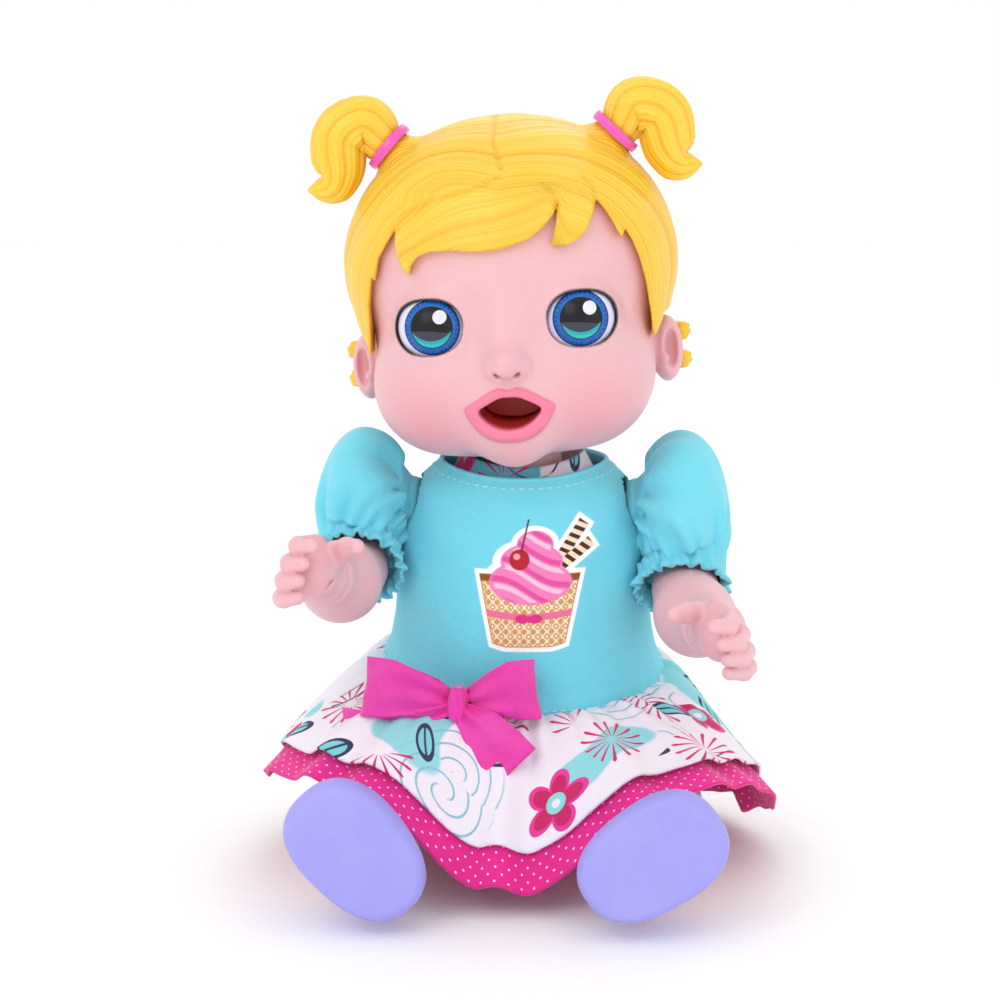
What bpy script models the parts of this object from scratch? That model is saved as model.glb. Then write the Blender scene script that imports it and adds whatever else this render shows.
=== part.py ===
"""Interactive baby doll, seated: a hard torso holding a sound module, a swivelling vinyl head with
a feeding mouth, vinyl arms and legs on shoulder and hip hubs, shoes, and a sewn dress.

Metres, +Z up. The doll faces -Y and its left side is +X. Z = 0 is the flat seat of the torso.
Sizes below are in millimetres; MM turns them into metres where a mesh is made.
"""

import math

import bmesh
import bpy
import numpy as np
from mathutils import Matrix, Vector

MM = 0.001
GAP = 0.4  # clearance between touching pieces

# Driving dimensions
HIP_Z = 20.0
SHOULDER_Z = 112.0
NECK_Z = 130.0
HEAD_ROLL = math.radians(4)  # the head leans to the doll's right at rest
HEAD_CENTRE_Z = 186.0
HEAD_HALF = (51.5, 49.0, 54.0)
JAW_FULLNESS = 0.52
CROWN_FULLNESS = 0.9
VINYL = 3.0
EYE_X = 22.6
EYE_Z = 179.5
EYE_RADIUS = 12.0
MOUTH_Z = 152.0
MOUTH_HALF = (10.0, 4.8)
WALL = 2.5
SPLIT_Y = 3.0  # the torso halves part just behind the hubs' axes
WAIST_Z = 56.0
LEG_X = 45.5
SOLE_Y = -105.0
ARM_PITCH = {"right": -7.0, "left": 8.0}  # degrees about +X; positive lowers the hand
SIDES = {"left": 1, "right": -1}
CELL_RADIUS = 5.25
CELL_LENGTH = 44.5
CELL_PITCH = 12.2
CASE = ((-20.0, 0.0, 29.0), (20.0, 20.0, 84.0))
BUTTON_Z = 52.0

PARTS = "interactive_baby_doll"
CUTTERS = "cutters"

COLOURS = {
    "skin": (0.90, 0.55, 0.53, 1),
    "hair": (0.96, 0.64, 0.03, 1),
    "turquoise_knit": (0.20, 0.66, 0.76, 1),
    "floral_print": (0.85, 0.72, 0.83, 1),
    "pink_cotton": (0.78, 0.03, 0.22, 1),
    "pink_ribbon": (0.84, 0.04, 0.42, 1),
    "tie_pink": (0.85, 0.12, 0.45, 1),
    "lavender": (0.42, 0.40, 0.90, 1),
    "eye": (0.02, 0.15, 0.55, 1),
    "mouth_red": (0.30, 0.02, 0.02, 1),
    "white_plastic": (0.80, 0.80, 0.78, 1),
    "ivory_plastic": (0.75, 0.62, 0.52, 1),
    "black_plastic": (0.02, 0.02, 0.02, 1),
    "steel": (0.60, 0.60, 0.62, 1),
    "copper": (0.80, 0.45, 0.20, 1),
    "board_green": (0.02, 0.22, 0.08, 1),
    "paper_cone": (0.05, 0.05, 0.05, 1),
    "hook_tape": (0.75, 0.85, 0.88, 1),
}
METALS = {"steel", "copper"}


# ---------------------------------------------------------------- scene helpers
def clear_scene():
    for obj in list(bpy.data.objects):
        bpy.data.objects.remove(obj, do_unlink=True)


def collection(name):
    made = bpy.data.collections.new(name)
    bpy.context.scene.collection.children.link(made)
    return made


def material(name):
    if name in bpy.data.materials:
        return bpy.data.materials[name]
    made = bpy.data.materials.new(name)
    made.use_nodes = True
    shader = made.node_tree.nodes["Principled BSDF"]
    shader.inputs["Base Color"].default_value = COLOURS[name]
    shader.inputs["Roughness"].default_value = 0.3 if name in METALS else 0.5
    shader.inputs["Metallic"].default_value = 1.0 if name in METALS else 0.0
    return made


def add_object(name, mesh, colour, parent=None):
    obj = bpy.data.objects.new(name, mesh)
    mesh.materials.append(material(colour))
    mesh.shade_smooth()
    mesh.set_sharp_from_angle(angle=math.radians(40))
    bpy.data.collections[PARTS].objects.link(obj)
    obj.parent = parent
    return obj


def add_cutter(name, mesh, parent=None):
    obj = bpy.data.objects.new(name, mesh)
    obj.hide_render = True
    obj.display_type = "WIRE"
    bpy.data.collections[CUTTERS].objects.link(obj)
    obj.parent = parent
    return obj


def boolean(obj, tool, operation):
    modifier = obj.modifiers.new(f"{operation.lower()} {tool.name}", "BOOLEAN")
    modifier.operation = operation
    modifier.object = tool


def cut(obj, mesh, parent=None):
    boolean(obj, add_cutter(f"cut_{obj.name}_{len(obj.modifiers)}", mesh, parent), "DIFFERENCE")


def join(obj, mesh, parent=None):
    boolean(obj, add_cutter(f"join_{obj.name}_{len(obj.modifiers)}", mesh, parent), "UNION")


def keep_inside(obj, mesh, parent=None):
    boolean(obj, add_cutter(f"keep_{obj.name}_{len(obj.modifiers)}", mesh, parent), "INTERSECT")


# ---------------------------------------------------------------- mesh helpers, all in millimetres
def finish(bm, name):
    bmesh.ops.scale(bm, vec=(MM, MM, MM), verts=bm.verts)
    bmesh.ops.recalc_face_normals(bm, faces=bm.faces)
    mesh = bpy.data.meshes.new(name)
    bm.to_mesh(mesh)
    bm.free()
    return mesh


def box(low, high, name="box"):
    bm = bmesh.new()
    bmesh.ops.create_cube(bm, size=1)
    size = [b - a for a, b in zip(low, high)]
    centre = [(a + b) / 2 for a, b in zip(low, high)]
    bmesh.ops.transform(
        bm, matrix=Matrix.Translation(centre) @ Matrix.Diagonal((*size, 1)), verts=bm.verts
    )
    return finish(bm, name)


def turn_to(axis):
    return Vector((0, 0, 1)).rotation_difference(Vector(axis)).to_matrix().to_4x4()


def cylinder(start, end, radius, sides=24, end_radius=None, name="cylinder"):
    start, end = Vector(start), Vector(end)
    bm = bmesh.new()
    bmesh.ops.create_cone(
        bm,
        cap_ends=True,
        segments=sides,
        radius1=radius,
        radius2=radius if end_radius is None else end_radius,
        depth=(end - start).length,
    )
    place = Matrix.Translation((start + end) / 2) @ turn_to(end - start)
    bmesh.ops.transform(bm, matrix=place, verts=bm.verts)
    return finish(bm, name)


def ellipsoid(centre, half, rings=12, sides=20, turn=None, name="ellipsoid"):
    bm = bmesh.new()
    bmesh.ops.create_uvsphere(bm, u_segments=sides, v_segments=rings, radius=1)
    place = Matrix.Translation(centre) @ (turn or Matrix()) @ Matrix.Diagonal((*half, 1))
    bmesh.ops.transform(bm, matrix=place, verts=bm.verts)
    return finish(bm, name)


def loft(rings, name="loft", wrap=False):
    """A closed body through rings of equal point counts. With wrap the last ring joins the first,
    which makes a wall open at both ends; without it both ends are capped."""
    bm = bmesh.new()
    rows = [[bm.verts.new(point) for point in ring] for ring in rings]
    pairs = list(zip(rows, rows[1:]))
    if wrap:
        pairs.append((rows[-1], rows[0]))
    for lower, upper in pairs:
        for i in range(len(lower)):
            j = (i + 1) % len(lower)
            bm.faces.new((lower[i], lower[j], upper[j], upper[i]))
    if not wrap:
        bm.faces.new(rows[0][::-1])
        bm.faces.new(rows[-1])
    return finish(bm, name)


def turned(profile, sides=24, place=None, name="turned"):
    """A closed outline of (radius, height) points, clear of the axis, turned about Z and placed."""
    angles = np.linspace(0, 2 * math.pi, sides, endpoint=False)
    rings = [[(r * math.cos(a), r * math.sin(a), z) for a in angles] for r, z in profile]
    mesh = loft(rings, name, wrap=True)
    if place is not None:
        place.translation *= MM
        mesh.transform(place)
    return mesh


def tube(points, radii, resolution=1, name="tube"):
    """A round bar of varying radius along a smooth route: a bevelled curve made a mesh."""
    curve = bpy.data.curves.new(name, "CURVE")
    curve.dimensions = "3D"
    curve.bevel_depth = MM
    curve.bevel_resolution = resolution
    curve.use_fill_caps = True
    spline = curve.splines.new("POLY")
    spline.points.add(len(points) - 1)
    for target, point, radius in zip(spline.points, points, radii):
        target.co = (*(Vector(point) * MM), 1)
        target.radius = radius
    guide = bpy.data.objects.new(name, curve)
    bpy.data.collections[CUTTERS].objects.link(guide)
    graph = bpy.context.evaluated_depsgraph_get()
    mesh = bpy.data.meshes.new_from_object(guide.evaluated_get(graph))
    bpy.data.objects.remove(guide)
    bm = bmesh.new()
    bm.from_mesh(mesh)
    bmesh.ops.remove_doubles(bm, verts=bm.verts, dist=1e-6)
    bmesh.ops.recalc_face_normals(bm, faces=bm.faces)
    bm.to_mesh(mesh)
    bm.free()
    return mesh


def smooth_route(points, radii, steps):
    """Catmull-Rom points and radii through a short list of stations."""
    rows = np.array([(*p, r) for p, r in zip(points, radii)], float)
    rows = np.vstack([2 * rows[0] - rows[1], rows, 2 * rows[-1] - rows[-2]])
    out = []
    for i in range(1, len(rows) - 2):
        a, b, c, d = rows[i - 1 : i + 3]
        for t in np.linspace(0, 1, steps, endpoint=False):
            out.append(
                0.5 * (2 * b + (c - a) * t + (2 * a - 5 * b + 4 * c - d) * t**2
                       + (3 * b - a - 3 * c + d) * t**3)
            )
    out.append(rows[-2])
    return [tuple(row[:3]) for row in out], [float(row[3]) for row in out]


def oval(half_x, half_y, z, sides=24, centre_y=0.0):
    angles = np.linspace(0, 2 * math.pi, sides, endpoint=False)
    return [(half_x * math.sin(a), centre_y - half_y * math.cos(a), z) for a in angles]


# ---------------------------------------------------------------- torso
TORSO_RINGS = (  # height, half width, half depth
    (0, 23, 24), (3, 27, 29), (10, 29.5, 33), (20, 30, 35), (36, 30.5, 35), (48, 35.5, 34),
    (60, 37, 32), (85, 36, 29), (100, 35, 27), (112, 34, 25), (120, 30, 22), (125, 22, 19), (127, 15, 15),
)


def torso_shell(name):
    """The hollow torso as one cup: up the outside, over the neck hole and down the inside."""
    outer = [oval(w, d, z) for z, w, d in TORSO_RINGS]
    inner = [
        oval(w - WALL, d - WALL, min(max(z, WALL), 127 - WALL)) for z, w, d in TORSO_RINGS[::-1]
    ]
    neck = [oval(13.6, 13.6, 127), oval(13.6, 13.6, 127 - WALL)]
    return loft(outer + neck + inner[1:], name)


def cut_torso_openings(obj):
    for side in SIDES.values():
        cut(obj, cylinder((side * 20, 0, HIP_Z), (side * 45, 0, HIP_Z), 7.6))
        cut(obj, cylinder((side * 20, 0, SHOULDER_Z), (side * 45, 0, SHOULDER_Z), 7.6))


def door_box(margin):
    return box((-18 + margin, 12, 32 + margin), (18 - margin, 60, 81 - margin))


def torso_halves():
    front = add_object("torso_front", torso_shell("torso_front"), "skin")
    keep_inside(front, box((-60, -60, -5), (60, SPLIT_Y - 0.15, 140)))
    cut_torso_openings(front)
    cut(front, cylinder((0, -60, BUTTON_Z), (0, -15, BUTTON_Z), 10.6, 20))
    for x, z in ((0, 85), (-5, 85), (5, 85), (-2.5, 89.3), (2.5, 89.3), (-2.5, 80.7), (2.5, 80.7)):
        cut(front, cylinder((x, -40, z), (x, -15, z), 1.2, 6))
    back = add_object("torso_back", torso_shell("torso_back"), "skin")
    keep_inside(back, box((-60, SPLIT_Y + 0.15, -5), (60, 60, 140)))
    cut_torso_openings(back)
    cut(back, door_box(0))
    door = add_object("battery_door", torso_shell("battery_door"), "skin")
    keep_inside(door, door_box(GAP))
    cut(door, cylinder((0, 20, 77), (0, 40, 77), 1.9, 12))


def screw(name, head, direction, length, radius, colour="steel"):
    """A pan-head screw pointing along direction, with a square recess in its head."""
    axis = Vector(direction).normalized()
    start = Vector(head)
    obj = add_object(name, cylinder(start, start + axis * 1.4, radius * 1.9, 14), colour)
    join(obj, cylinder(start + axis * 1.0, start + axis * length, radius, 10, radius * 0.6))
    cut(obj, cylinder(start - axis * 0.5, start + axis * 0.7, radius * 0.8, 4))
    return obj


def torso_fasteners():
    """Four screws in bosses that pull the two halves together, and the door's own screw."""
    front = bpy.data.objects["torso_front"]
    for number, (x, z) in enumerate(((-28.5, 52), (28.5, 52), (-26, 98), (26, 98)), 1):
        join(front, cylinder((x, -16, z), (x, -1, z), 3.6, 12))
        cut(front, cylinder((x, -8.5, z), (x, 0, z), 1.75, 10))
        screw(f"torso_screw_{number}", (x, 1.2, z), (0, -1, 0), 9, 1.5)
    screw("battery_door_screw", (0, 31.9, 77), (0, -1, 0), 9, 1.3)


def neck_post(parent):
    """A turned post clamped under the torso's top; its mushroom head holds the doll's head on."""
    profile = (
        (15.2, -10.5), (15.2, -7.8), (12.6, -7.4), (12.6, 6.5), (19, 7.5), (18, 11), (12, 12.5),
        (9.5, 12.5), (9.5, -10.5),
    )
    add_object("neck_post", turned(profile, 24, name="neck_post"), "white_plastic", parent)


# ---------------------------------------------------------------- sound module
def battery_case():
    (x0, y0, z0), (x1, y1, z1) = CASE
    case = add_object("battery_case", box((x0, y0, z0), (x1, y1, z1)), "black_plastic")
    cut(case, box((x0 + 2, y0 + 2, z0 + 2), (x1 - 2, y1 + 2, z1 - 2)))
    for x in (-CELL_PITCH / 2, CELL_PITCH / 2):
        join(case, box((x - 0.4, y0 + 1, z0 + 1), (x + 0.4, y0 + 5, z1 - 1)))


def battery_cells():
    low = CASE[0][2] + 7.3
    for number, x in enumerate((-CELL_PITCH, 0, CELL_PITCH), 1):
        y = 11.0
        body = cylinder((x, y, low), (x, y, low + CELL_LENGTH - 1), CELL_RADIUS, 20)
        cell = add_object(f"battery_cell_{number}", body, "copper")
        join(cell, cylinder((x, y, low + CELL_LENGTH - 2), (x, y, low + CELL_LENGTH), 1.9, 10))
        coil = spring_mesh((x, y, CASE[0][2] + 2.8), (0, 0, 1), 4.0, 3.6, 0.4, 3)
        add_object(f"battery_spring_{number}", coil, "steel")
        top = low + CELL_LENGTH + GAP
        add_object(
            f"battery_contact_{number}", box((x - 4, y - 4, top), (x + 4, y + 4, top + 0.5)), "steel"
        )


def spring_mesh(start, axis, length, radius, wire, turns):
    """A helical wire, its ends at length apart along the axis."""
    steps = 8 * turns
    turn = turn_to(axis)
    points = []
    for i in range(steps + 1):
        angle = 2 * math.pi * i / 8
        local = Vector((radius * math.cos(angle), radius * math.sin(angle), length * i / steps))
        points.append(Vector(start) + (turn @ local.to_4d()).to_3d())
    return tube(points, [wire] * len(points), 1, "spring")


def electronics():
    board = add_object("circuit_board", box((-17, -6, 40), (17, -4.4, 78)), "board_green")
    for x, z in ((-14, 43), (14, 43), (-14, 75), (14, 75)):
        cut(board, cylinder((x, -8, z), (x, -3, z), 1.3, 10))
    add_object("sound_chip", cylinder((0, -4.1, 58), (0, -2.2, 58), 7, 20, 5), "black_plastic")
    add_object("speaker_frame", speaker_profile(((15, 0), (15, 1.5), (13, 1.5), (9, 6), (9, 8),
               (7.5, 8), (7.5, 5.5), (11.5, 0.8), (12.5, 0.0)), "speaker_frame"), "steel")
    add_object("speaker_cone", speaker_profile(((11.6, -0.3), (7.0, 5.0), (3.5, 5.6), (3.5, 5.0),
               (6.6, 4.4), (10.8, -0.3)), "speaker_cone"), "paper_cone")
    add_object("speaker_magnet", cylinder((0, -10.4, 85), (0, -7.4, 85), 7.5, 24), "steel")
    bracket = add_object("button_bracket", box((-15, -13.5, 46), (15, -11.9, 58)), "white_plastic")
    for side in SIDES.values():
        join(bracket, box((side * 13.5 - 1.5, -24, 46), (side * 13.5 + 1.5, -12.5, 58)))
    add_object("button_switch", box((-3.2, -16.4, 48.8), (3.2, -13.9, 55.2)), "black_plastic")


def speaker_profile(profile, name):
    """A speaker part turned about the speaker's axis, its front facing -Y."""
    place = Matrix.Translation((0, -19, 85)) @ turn_to((0, 1, 0))
    return turned(profile, 18, place, name)


def tummy_button():
    """A sprung cap that stands a little proud of the belly under the dress."""
    y = -34.2
    cap = add_object("tummy_button", cylinder((0, y, BUTTON_Z), (0, -26, BUTTON_Z), 9.9, 20), "skin")
    join(cap, cylinder((0, -26.5, BUTTON_Z), (0, -25, BUTTON_Z), 12, 20))
    join(cap, cylinder((0, -25.5, BUTTON_Z), (0, -18.8, BUTTON_Z), 2.6, 10))
    coil = spring_mesh((0, -24.3, BUTTON_Z), (0, 1, 0), 9.6, 6.0, 0.4, 5)
    add_object("button_spring", coil, "steel")


def power_switch():
    """A slide switch on the back, to the side of the battery door."""
    case = add_object("switch_case", box((20.6, 10, 64), (26.2, 15.5, 76)), "black_plastic")
    cut(case, box((22.4, 13, 66), (24.4, 17, 74)))
    add_object("power_switch", box((22.7, 13.5, 66.3), (24.1, 26.3, 70)), "white_plastic")
    cut(bpy.data.objects["torso_back"], box((22.2, 16, 65.5), (24.6, 40, 74.5)))


# ---------------------------------------------------------------- head
def head_ring(latitude, offset, sides):
    """One level of the head's surface: full at the cheeks and jaw, rounder at the crown."""
    half_x, half_y, half_z = (half + offset for half in HEAD_HALF)
    power = JAW_FULLNESS if latitude < 0 else CROWN_FULLNESS
    reach = max(math.cos(latitude), 0.0) ** power
    z = HEAD_CENTRE_Z - NECK_Z + half_z * math.sin(latitude)
    return oval(half_x * reach, half_y * reach, z, sides)


def head_body(offset, rows, sides, low=-89.0, high=89.0, name="head"):
    latitudes = np.radians(np.linspace(low, high, rows))
    return loft([head_ring(latitude, offset, sides) for latitude in latitudes], name)


def head_shell(parent):
    """Hollow vinyl head: open at the neck, round sockets for the eyes and an oval mouth."""
    shell = add_object("head_shell", head_body(0, 13, 24, name="head_shell"), "skin", parent)
    for side in SIDES.values():
        ear = ellipsoid((side * 49.5, 3, 164 - NECK_Z), (3.6, 6, 9), 6, 8)
        join(shell, ear, parent)
    join(shell, ellipsoid((0, -48, 165 - NECK_Z), (6, 5, 4.5), 6, 8), parent)
    cut(shell, head_body(-VINYL, 9, 18, low=-87, high=87), parent)
    cut(shell, cylinder((0, 0, -6), (0, 0, 16), 14, 28), parent)
    cut(shell, mouth_prism(MOUTH_HALF, -60, -30), parent)
    for side in SIDES.values():
        cut(shell, ellipsoid(eye_centre(side), [EYE_RADIUS + GAP] * 3, 8, 16), parent)


def eye_centre(side):
    return (side * EYE_X, -34.5, EYE_Z - NECK_Z)


def mouth_prism(half, front, back, sides=24):
    angles = np.linspace(0, 2 * math.pi, sides, endpoint=False)
    z = MOUTH_Z - NECK_Z
    ring = [(half[0] * math.cos(a), z + half[1] * math.sin(a)) for a in angles]
    return loft([[(x, y, z) for x, z in ring] for y in (front, back)], "mouth_prism")


def eyes(parent):
    for name, side in SIDES.items():
        eye = add_object(
            f"eye_{name}", ellipsoid(eye_centre(side), [EYE_RADIUS] * 3, 8, 16), "eye", parent
        )
        x, y, z = eye_centre(side)
        cut(eye, box((x - 20, y + 3, z - 20), (x + 20, y + 20, z + 20)), parent)


def mouth(parent):
    """The feeding mouth: a cup behind the lips, and a sprung plate that a bottle or spoon presses."""
    half_x, half_z = MOUTH_HALF
    z = MOUTH_Z - NECK_Z
    cup = add_object("mouth_cup", mouth_prism((half_x + 1.6, half_z + 1.6), -31.5, -16), "mouth_red", parent)
    cut(cup, mouth_prism((half_x, half_z), -50, -18), parent)
    cut(cup, cylinder((0, -22, z), (0, -12, z), 2.2, 14), parent)
    plate = mouth_prism((half_x - 0.6, half_z - 0.6), -23, -21.4)
    trigger = add_object("mouth_trigger", plate, "mouth_red", parent)
    join(trigger, cylinder((0, -21.8, z), (0, -7.4, z), 1.7, 10), parent)
    coil = spring_mesh((0, -11.1, z), (0, 1, 0), 5.6, 3.2, 0.35, 4)
    add_object("mouth_spring", coil, "steel", parent)
    join(trigger, cylinder((0, -12.9, z), (0, -11.6, z), 4.6, 14), parent)
    add_object("mouth_switch", box((-5, -5, z - 4), (5, -2, z + 4)), "black_plastic", parent)


def hair(parent):
    """Moulded hair: a cap above a hairline that falls to the back, and two curled pigtails."""
    cap = add_object("hair_cap", head_body(4.2, 13, 24, name="hair_cap"), "hair", parent)
    cut(cap, head_body(GAP, 13, 24, low=-89, high=89), parent)
    hairline = box((-80, -90, 0), (80, 90, 120))
    hairline.transform(Matrix.Translation((0, 0, 0.0545)) @ Matrix.Rotation(math.radians(-30), 4, "X"))
    keep_inside(cap, hairline, parent)
    for name, side in SIDES.items():
        out = Vector((side * 0.72, 0, 0.70))
        root = Vector((side * 36.0, 0, 234.8 - NECK_Z))
        cut(cap, cylinder(root - out * 9, root + out * 9, 7.6, 20), parent)
        add_object(f"hair_tie_{name}", tie_ring(root, out, name), "tie_pink", parent)
        points, radii = smooth_route(
            (root - out * 3, root + out * 3.0, (side * 43.5, 0, 111.5), (side * 51.5, -1, 107),
             (side * 53, -2, 97), (side * 60, -3, 93)),
            (5.6, 6.2, 8.6, 8.4, 6.6, 2.0), 3)
        add_object(f"pigtail_{name}", tube(points, radii, 2, "pigtail"), "hair", parent)


def tie_ring(root, out, name):
    profile = ((7.2, -1.5), (8.6, -1.5), (8.9, 0.0), (8.6, 1.5), (7.2, 1.5))
    place = Matrix.Translation(root + out * 1.5) @ turn_to(out)
    return turned(profile, 24, place, f"hair_tie_{name}")


# ---------------------------------------------------------------- arms
def hand_pieces(side):
    """Palm, four curled fingers and a raised thumb, about the shoulder at the origin."""
    yield ellipsoid((side * 15, -71, -18), (6, 10, 9), 6, 8)
    for i in range(4):
        z = -10.5 - 4.7 * i
        yield tube(
            ((side * 16, -72, z), (side * 19, -81, z), (side * 17, -87, z + 1.0),
             (side * 13, -88.5, z + 2.0)),
            (3.0, 2.8, 2.5, 1.6), 1, "finger")
    yield tube(
        ((side * 12, -66, -13), (side * 8, -72, -5), (side * 8, -75, 1.5), (side * 8.5, -76, 3)),
        (3.6, 3.2, 2.8, 1.6), 1, "thumb")


def arms():
    for name, side in SIDES.items():
        pivot = bpy.data.objects.new(f"shoulder_{name}", None)
        bpy.data.collections[PARTS].objects.link(pivot)
        pivot.location = (0, 0, SHOULDER_Z * MM)
        pivot.rotation_euler = (math.radians(ARM_PITCH[name]), 0, 0)
        root = side * 43.0
        points, radii = smooth_route(
            ((root + side * 8, 1, 1), (root + side * 10, -9, -10), (root + side * 11, -22, -19),
             (root + side * 12.5, -44, -20.5), (root + side * 14.5, -60, -19.5),
             (root + side * 15.5, -69, -18.5)),
            (8.0, 9.0, 10.0, 10.4, 7.6, 6.5), 2)
        arm = add_object(f"arm_{name}", tube(points, radii, 2, "arm"), "skin", pivot)
        join(arm, cylinder((side * 25, 0, 0), (root + side * 9.3, 0.2, 0), 7.0, 16), pivot)
        join(arm, cylinder((side * 24, 0, 0), (side * 26.0, 0, 0), 8.6, 16), pivot)
        for piece in hand_pieces(side):
            piece.transform(Matrix.Translation((root * MM, 0, 0)))
            join(arm, piece, pivot)
        for union in arm.modifiers:
            union.solver = "MANIFOLD"
        sleeve(name, side, pivot, tube(points, [radius + 1.6 for radius in radii], 2, "arm_room"))


def sleeve(name, side, pivot, arm_room):
    """A puffed sleeve: open at the round armhole seam and at the gathered cuff."""
    centre = (side * 54.5, -6, 5)
    obj = add_object(
        f"sleeve_{name}", ellipsoid(centre, (14.5, 24, 25), 8, 16), "turquoise_knit", pivot
    )
    cut(obj, ellipsoid(centre, (13, 22.5, 23.5), 8, 16), pivot)
    cut(obj, cylinder((side * 30, 0, 0), (side * 50, 0, 0), 15, 24), pivot)
    cut(obj, arm_room, pivot)


# ---------------------------------------------------------------- legs and shoes
def legs():
    for name, side in SIDES.items():
        x = side * LEG_X
        points, radii = smooth_route(
            ((x, 11, 20), (x, -2, 20), (x, -28, 19), (x, -55, 19.5), (x, -78, 24), (x, -97, 25.5)),
            (8, 14.0, 14.0, 12.0, 9.0, 8.6), 2)
        leg = add_object(f"leg_{name}", tube(points, radii, 2, "leg"), "skin")
        join(leg, cylinder((side * 24, 0, HIP_Z), (x, 0, HIP_Z), 7.0, 18))
        join(leg, cylinder((side * 22.4, 0, HIP_Z), (side * 24.6, 0, HIP_Z), 9.4, 18))
        add_object(f"shoe_{name}", shoe_mesh(side), "lavender")


SHOE_LEAN = {1: 55.0, -1: -43.0}  # how far each shoe's toe turns outward, in degrees


def egg(half_long, half_wide, y, centre, lean, sides=20):
    """An egg outline in a plane facing -Y: broad at the toe, narrow at the heel."""
    ring = []
    for angle in np.linspace(0, 2 * math.pi, sides, endpoint=False):
        along = half_long * math.cos(angle)
        across = half_wide * math.sin(angle) * (1 + 0.12 * math.cos(angle))
        ring.append((
            centre[0] + along * math.sin(lean) + across * math.cos(lean),
            y,
            centre[1] + along * math.cos(lean) - across * math.sin(lean),
        ))
    return ring


def shoe_mesh(side):
    """A slip-on shoe as one cup: flat sole, rounded upper, open at the ankle."""
    lean = math.radians(SHOE_LEAN[side])
    x, z = side * (LEG_X - 1.0), 25.5
    outer = ((22.5, 15.4, SOLE_Y), (24.2, 17.0, SOLE_Y + 1.2), (24.7, 17.4, SOLE_Y + 3.5),
             (23.8, 17.0, SOLE_Y + 8), (20.8, 16, SOLE_Y + 14), (16.8, 14.8, SOLE_Y + 20),
             (14.5, 14, SOLE_Y + 24))
    inner = ((12.5, 12.0, SOLE_Y + 24), (13, 12.5, SOLE_Y + 18), (14, 13, SOLE_Y + 10), (12, 12, SOLE_Y + 6))
    return loft([egg(a, b, y, (x, z), lean) for a, b, y in outer + inner], "shoe")


# ---------------------------------------------------------------- dress
BODICE_RINGS = ((58, 44, 42), (75, 42, 41), (95, 41, 38), (112, 40, 33), (124, 36, 29), (131, 29, 25))
CLOTH = 1.5
HEM_HEIGHT = ((0, 14, 25, 52, 66, 90, 120, 180), (8, 14, 42, 42, 32, 18, 6, 4))
HEM_REACH = ((0, 35, 60, 90, 130, 180), (76, 80, 84, 80, 66, 60))


def bodice():
    outer = [oval(w, d, z, 28) for z, w, d in BODICE_RINGS]
    inner = [oval(w - CLOTH, d - CLOTH, z, 28) for z, w, d in BODICE_RINGS[::-1]]
    obj = add_object("dress_bodice", loft(outer + inner, "dress_bodice", wrap=True), "turquoise_knit")
    for side in SIDES.values():
        cut(obj, cylinder((side * 30, 0, SHOULDER_Z), (side * 50, 0, SHOULDER_Z), 14, 28))
    cut(obj, box((-1.5, 20, 50), (1.5, 60, 140)))


def collar():
    rings = [oval(w, w, z, 32) for w, z in ((23.5, 125.5), (22.5, 130.2), (21.3, 130.2), (22.3, 125.5))]
    add_object("floral_collar", loft(rings, "floral_collar", wrap=True), "floral_print")


def skirt_ring(share, drop, sides=40):
    """One level of the skirt, from the waist (share 0) to the hem (share 1), drop below the top layer."""
    ring = []
    for angle in np.linspace(0, 2 * math.pi, sides, endpoint=False):
        degrees = math.degrees(angle) if angle <= math.pi else 360 - math.degrees(angle)
        hem_z = np.interp(degrees, *HEM_HEIGHT)
        reach = np.interp(degrees, *HEM_REACH)
        waist = math.hypot(43 * math.sin(angle), 41 * math.cos(angle))
        radius = waist + (reach - waist) * share
        z = WAIST_Z - (WAIST_Z - hem_z) * share**1.6 - drop
        ring.append((radius * math.sin(angle), -radius * math.cos(angle), z))
    return ring


def skirt(name, colour, lift, last_share):
    shares = np.linspace(0.06, last_share, 4)
    top = [skirt_ring(share, -lift - CLOTH) for share in shares]
    under = [skirt_ring(share, -lift) for share in shares[::-1]]
    return add_object(name, loft(top + under, name, wrap=True), colour)


def bow():
    """A ribbon bow at the waist: two loops, a knot and two tails."""
    centre = Vector((-18, -49, 63.5))
    knot = add_object("waist_bow", ellipsoid(centre, (5.5, 4, 5.5), 6, 10), "pink_ribbon")
    tails = {1: ((9, -6, -6), (17, -12, -13)), -1: ((-9, -6, -1.5), (-17, -11, -5))}
    for way, (middle, end) in tails.items():
        join(knot, ellipsoid(centre + Vector((way * 12, 0, 3)), (10, 3.2, 6.5), 6, 10))
        start = centre + Vector((way * 2, -0.5, -0.5))
        route = (start, centre + Vector(middle), centre + Vector(end))
        join(knot, tube(route, (2.0, 2.8, 3.4), 1, "tail"))


def back_closure():
    """Hook and loop strips at the dress's back opening."""
    add_object("closure_hook_strip", box((-9, 40.4, 86), (-2.5, 41.4, 114)), "hook_tape")
    add_object("closure_loop_strip", box((2.5, 40.4, 86), (9, 41.4, 114)), "hook_tape")


# ---------------------------------------------------------------- assembly
def main():
    clear_scene()
    collection(PARTS)
    cutters = collection(CUTTERS)
    cutters.hide_render = True
    head_pivot = bpy.data.objects.new("neck_pivot", None)
    bpy.data.collections[PARTS].objects.link(head_pivot)
    head_pivot.location = (0, 0, NECK_Z * MM)
    head_pivot.rotation_euler = (0, -HEAD_ROLL, 0)
    torso_halves()
    torso_fasteners()
    neck_post(head_pivot)
    battery_case()
    battery_cells()
    electronics()
    tummy_button()
    power_switch()
    head_shell(head_pivot)
    eyes(head_pivot)
    mouth(head_pivot)
    hair(head_pivot)
    arms()
    legs()
    bodice()
    collar()
    skirt("petticoat", "pink_cotton", 0.0, 1.0)
    skirt("ruffle_skirt", "floral_print", 4.2, 0.86)
    bow()
    back_closure()


main()
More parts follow.
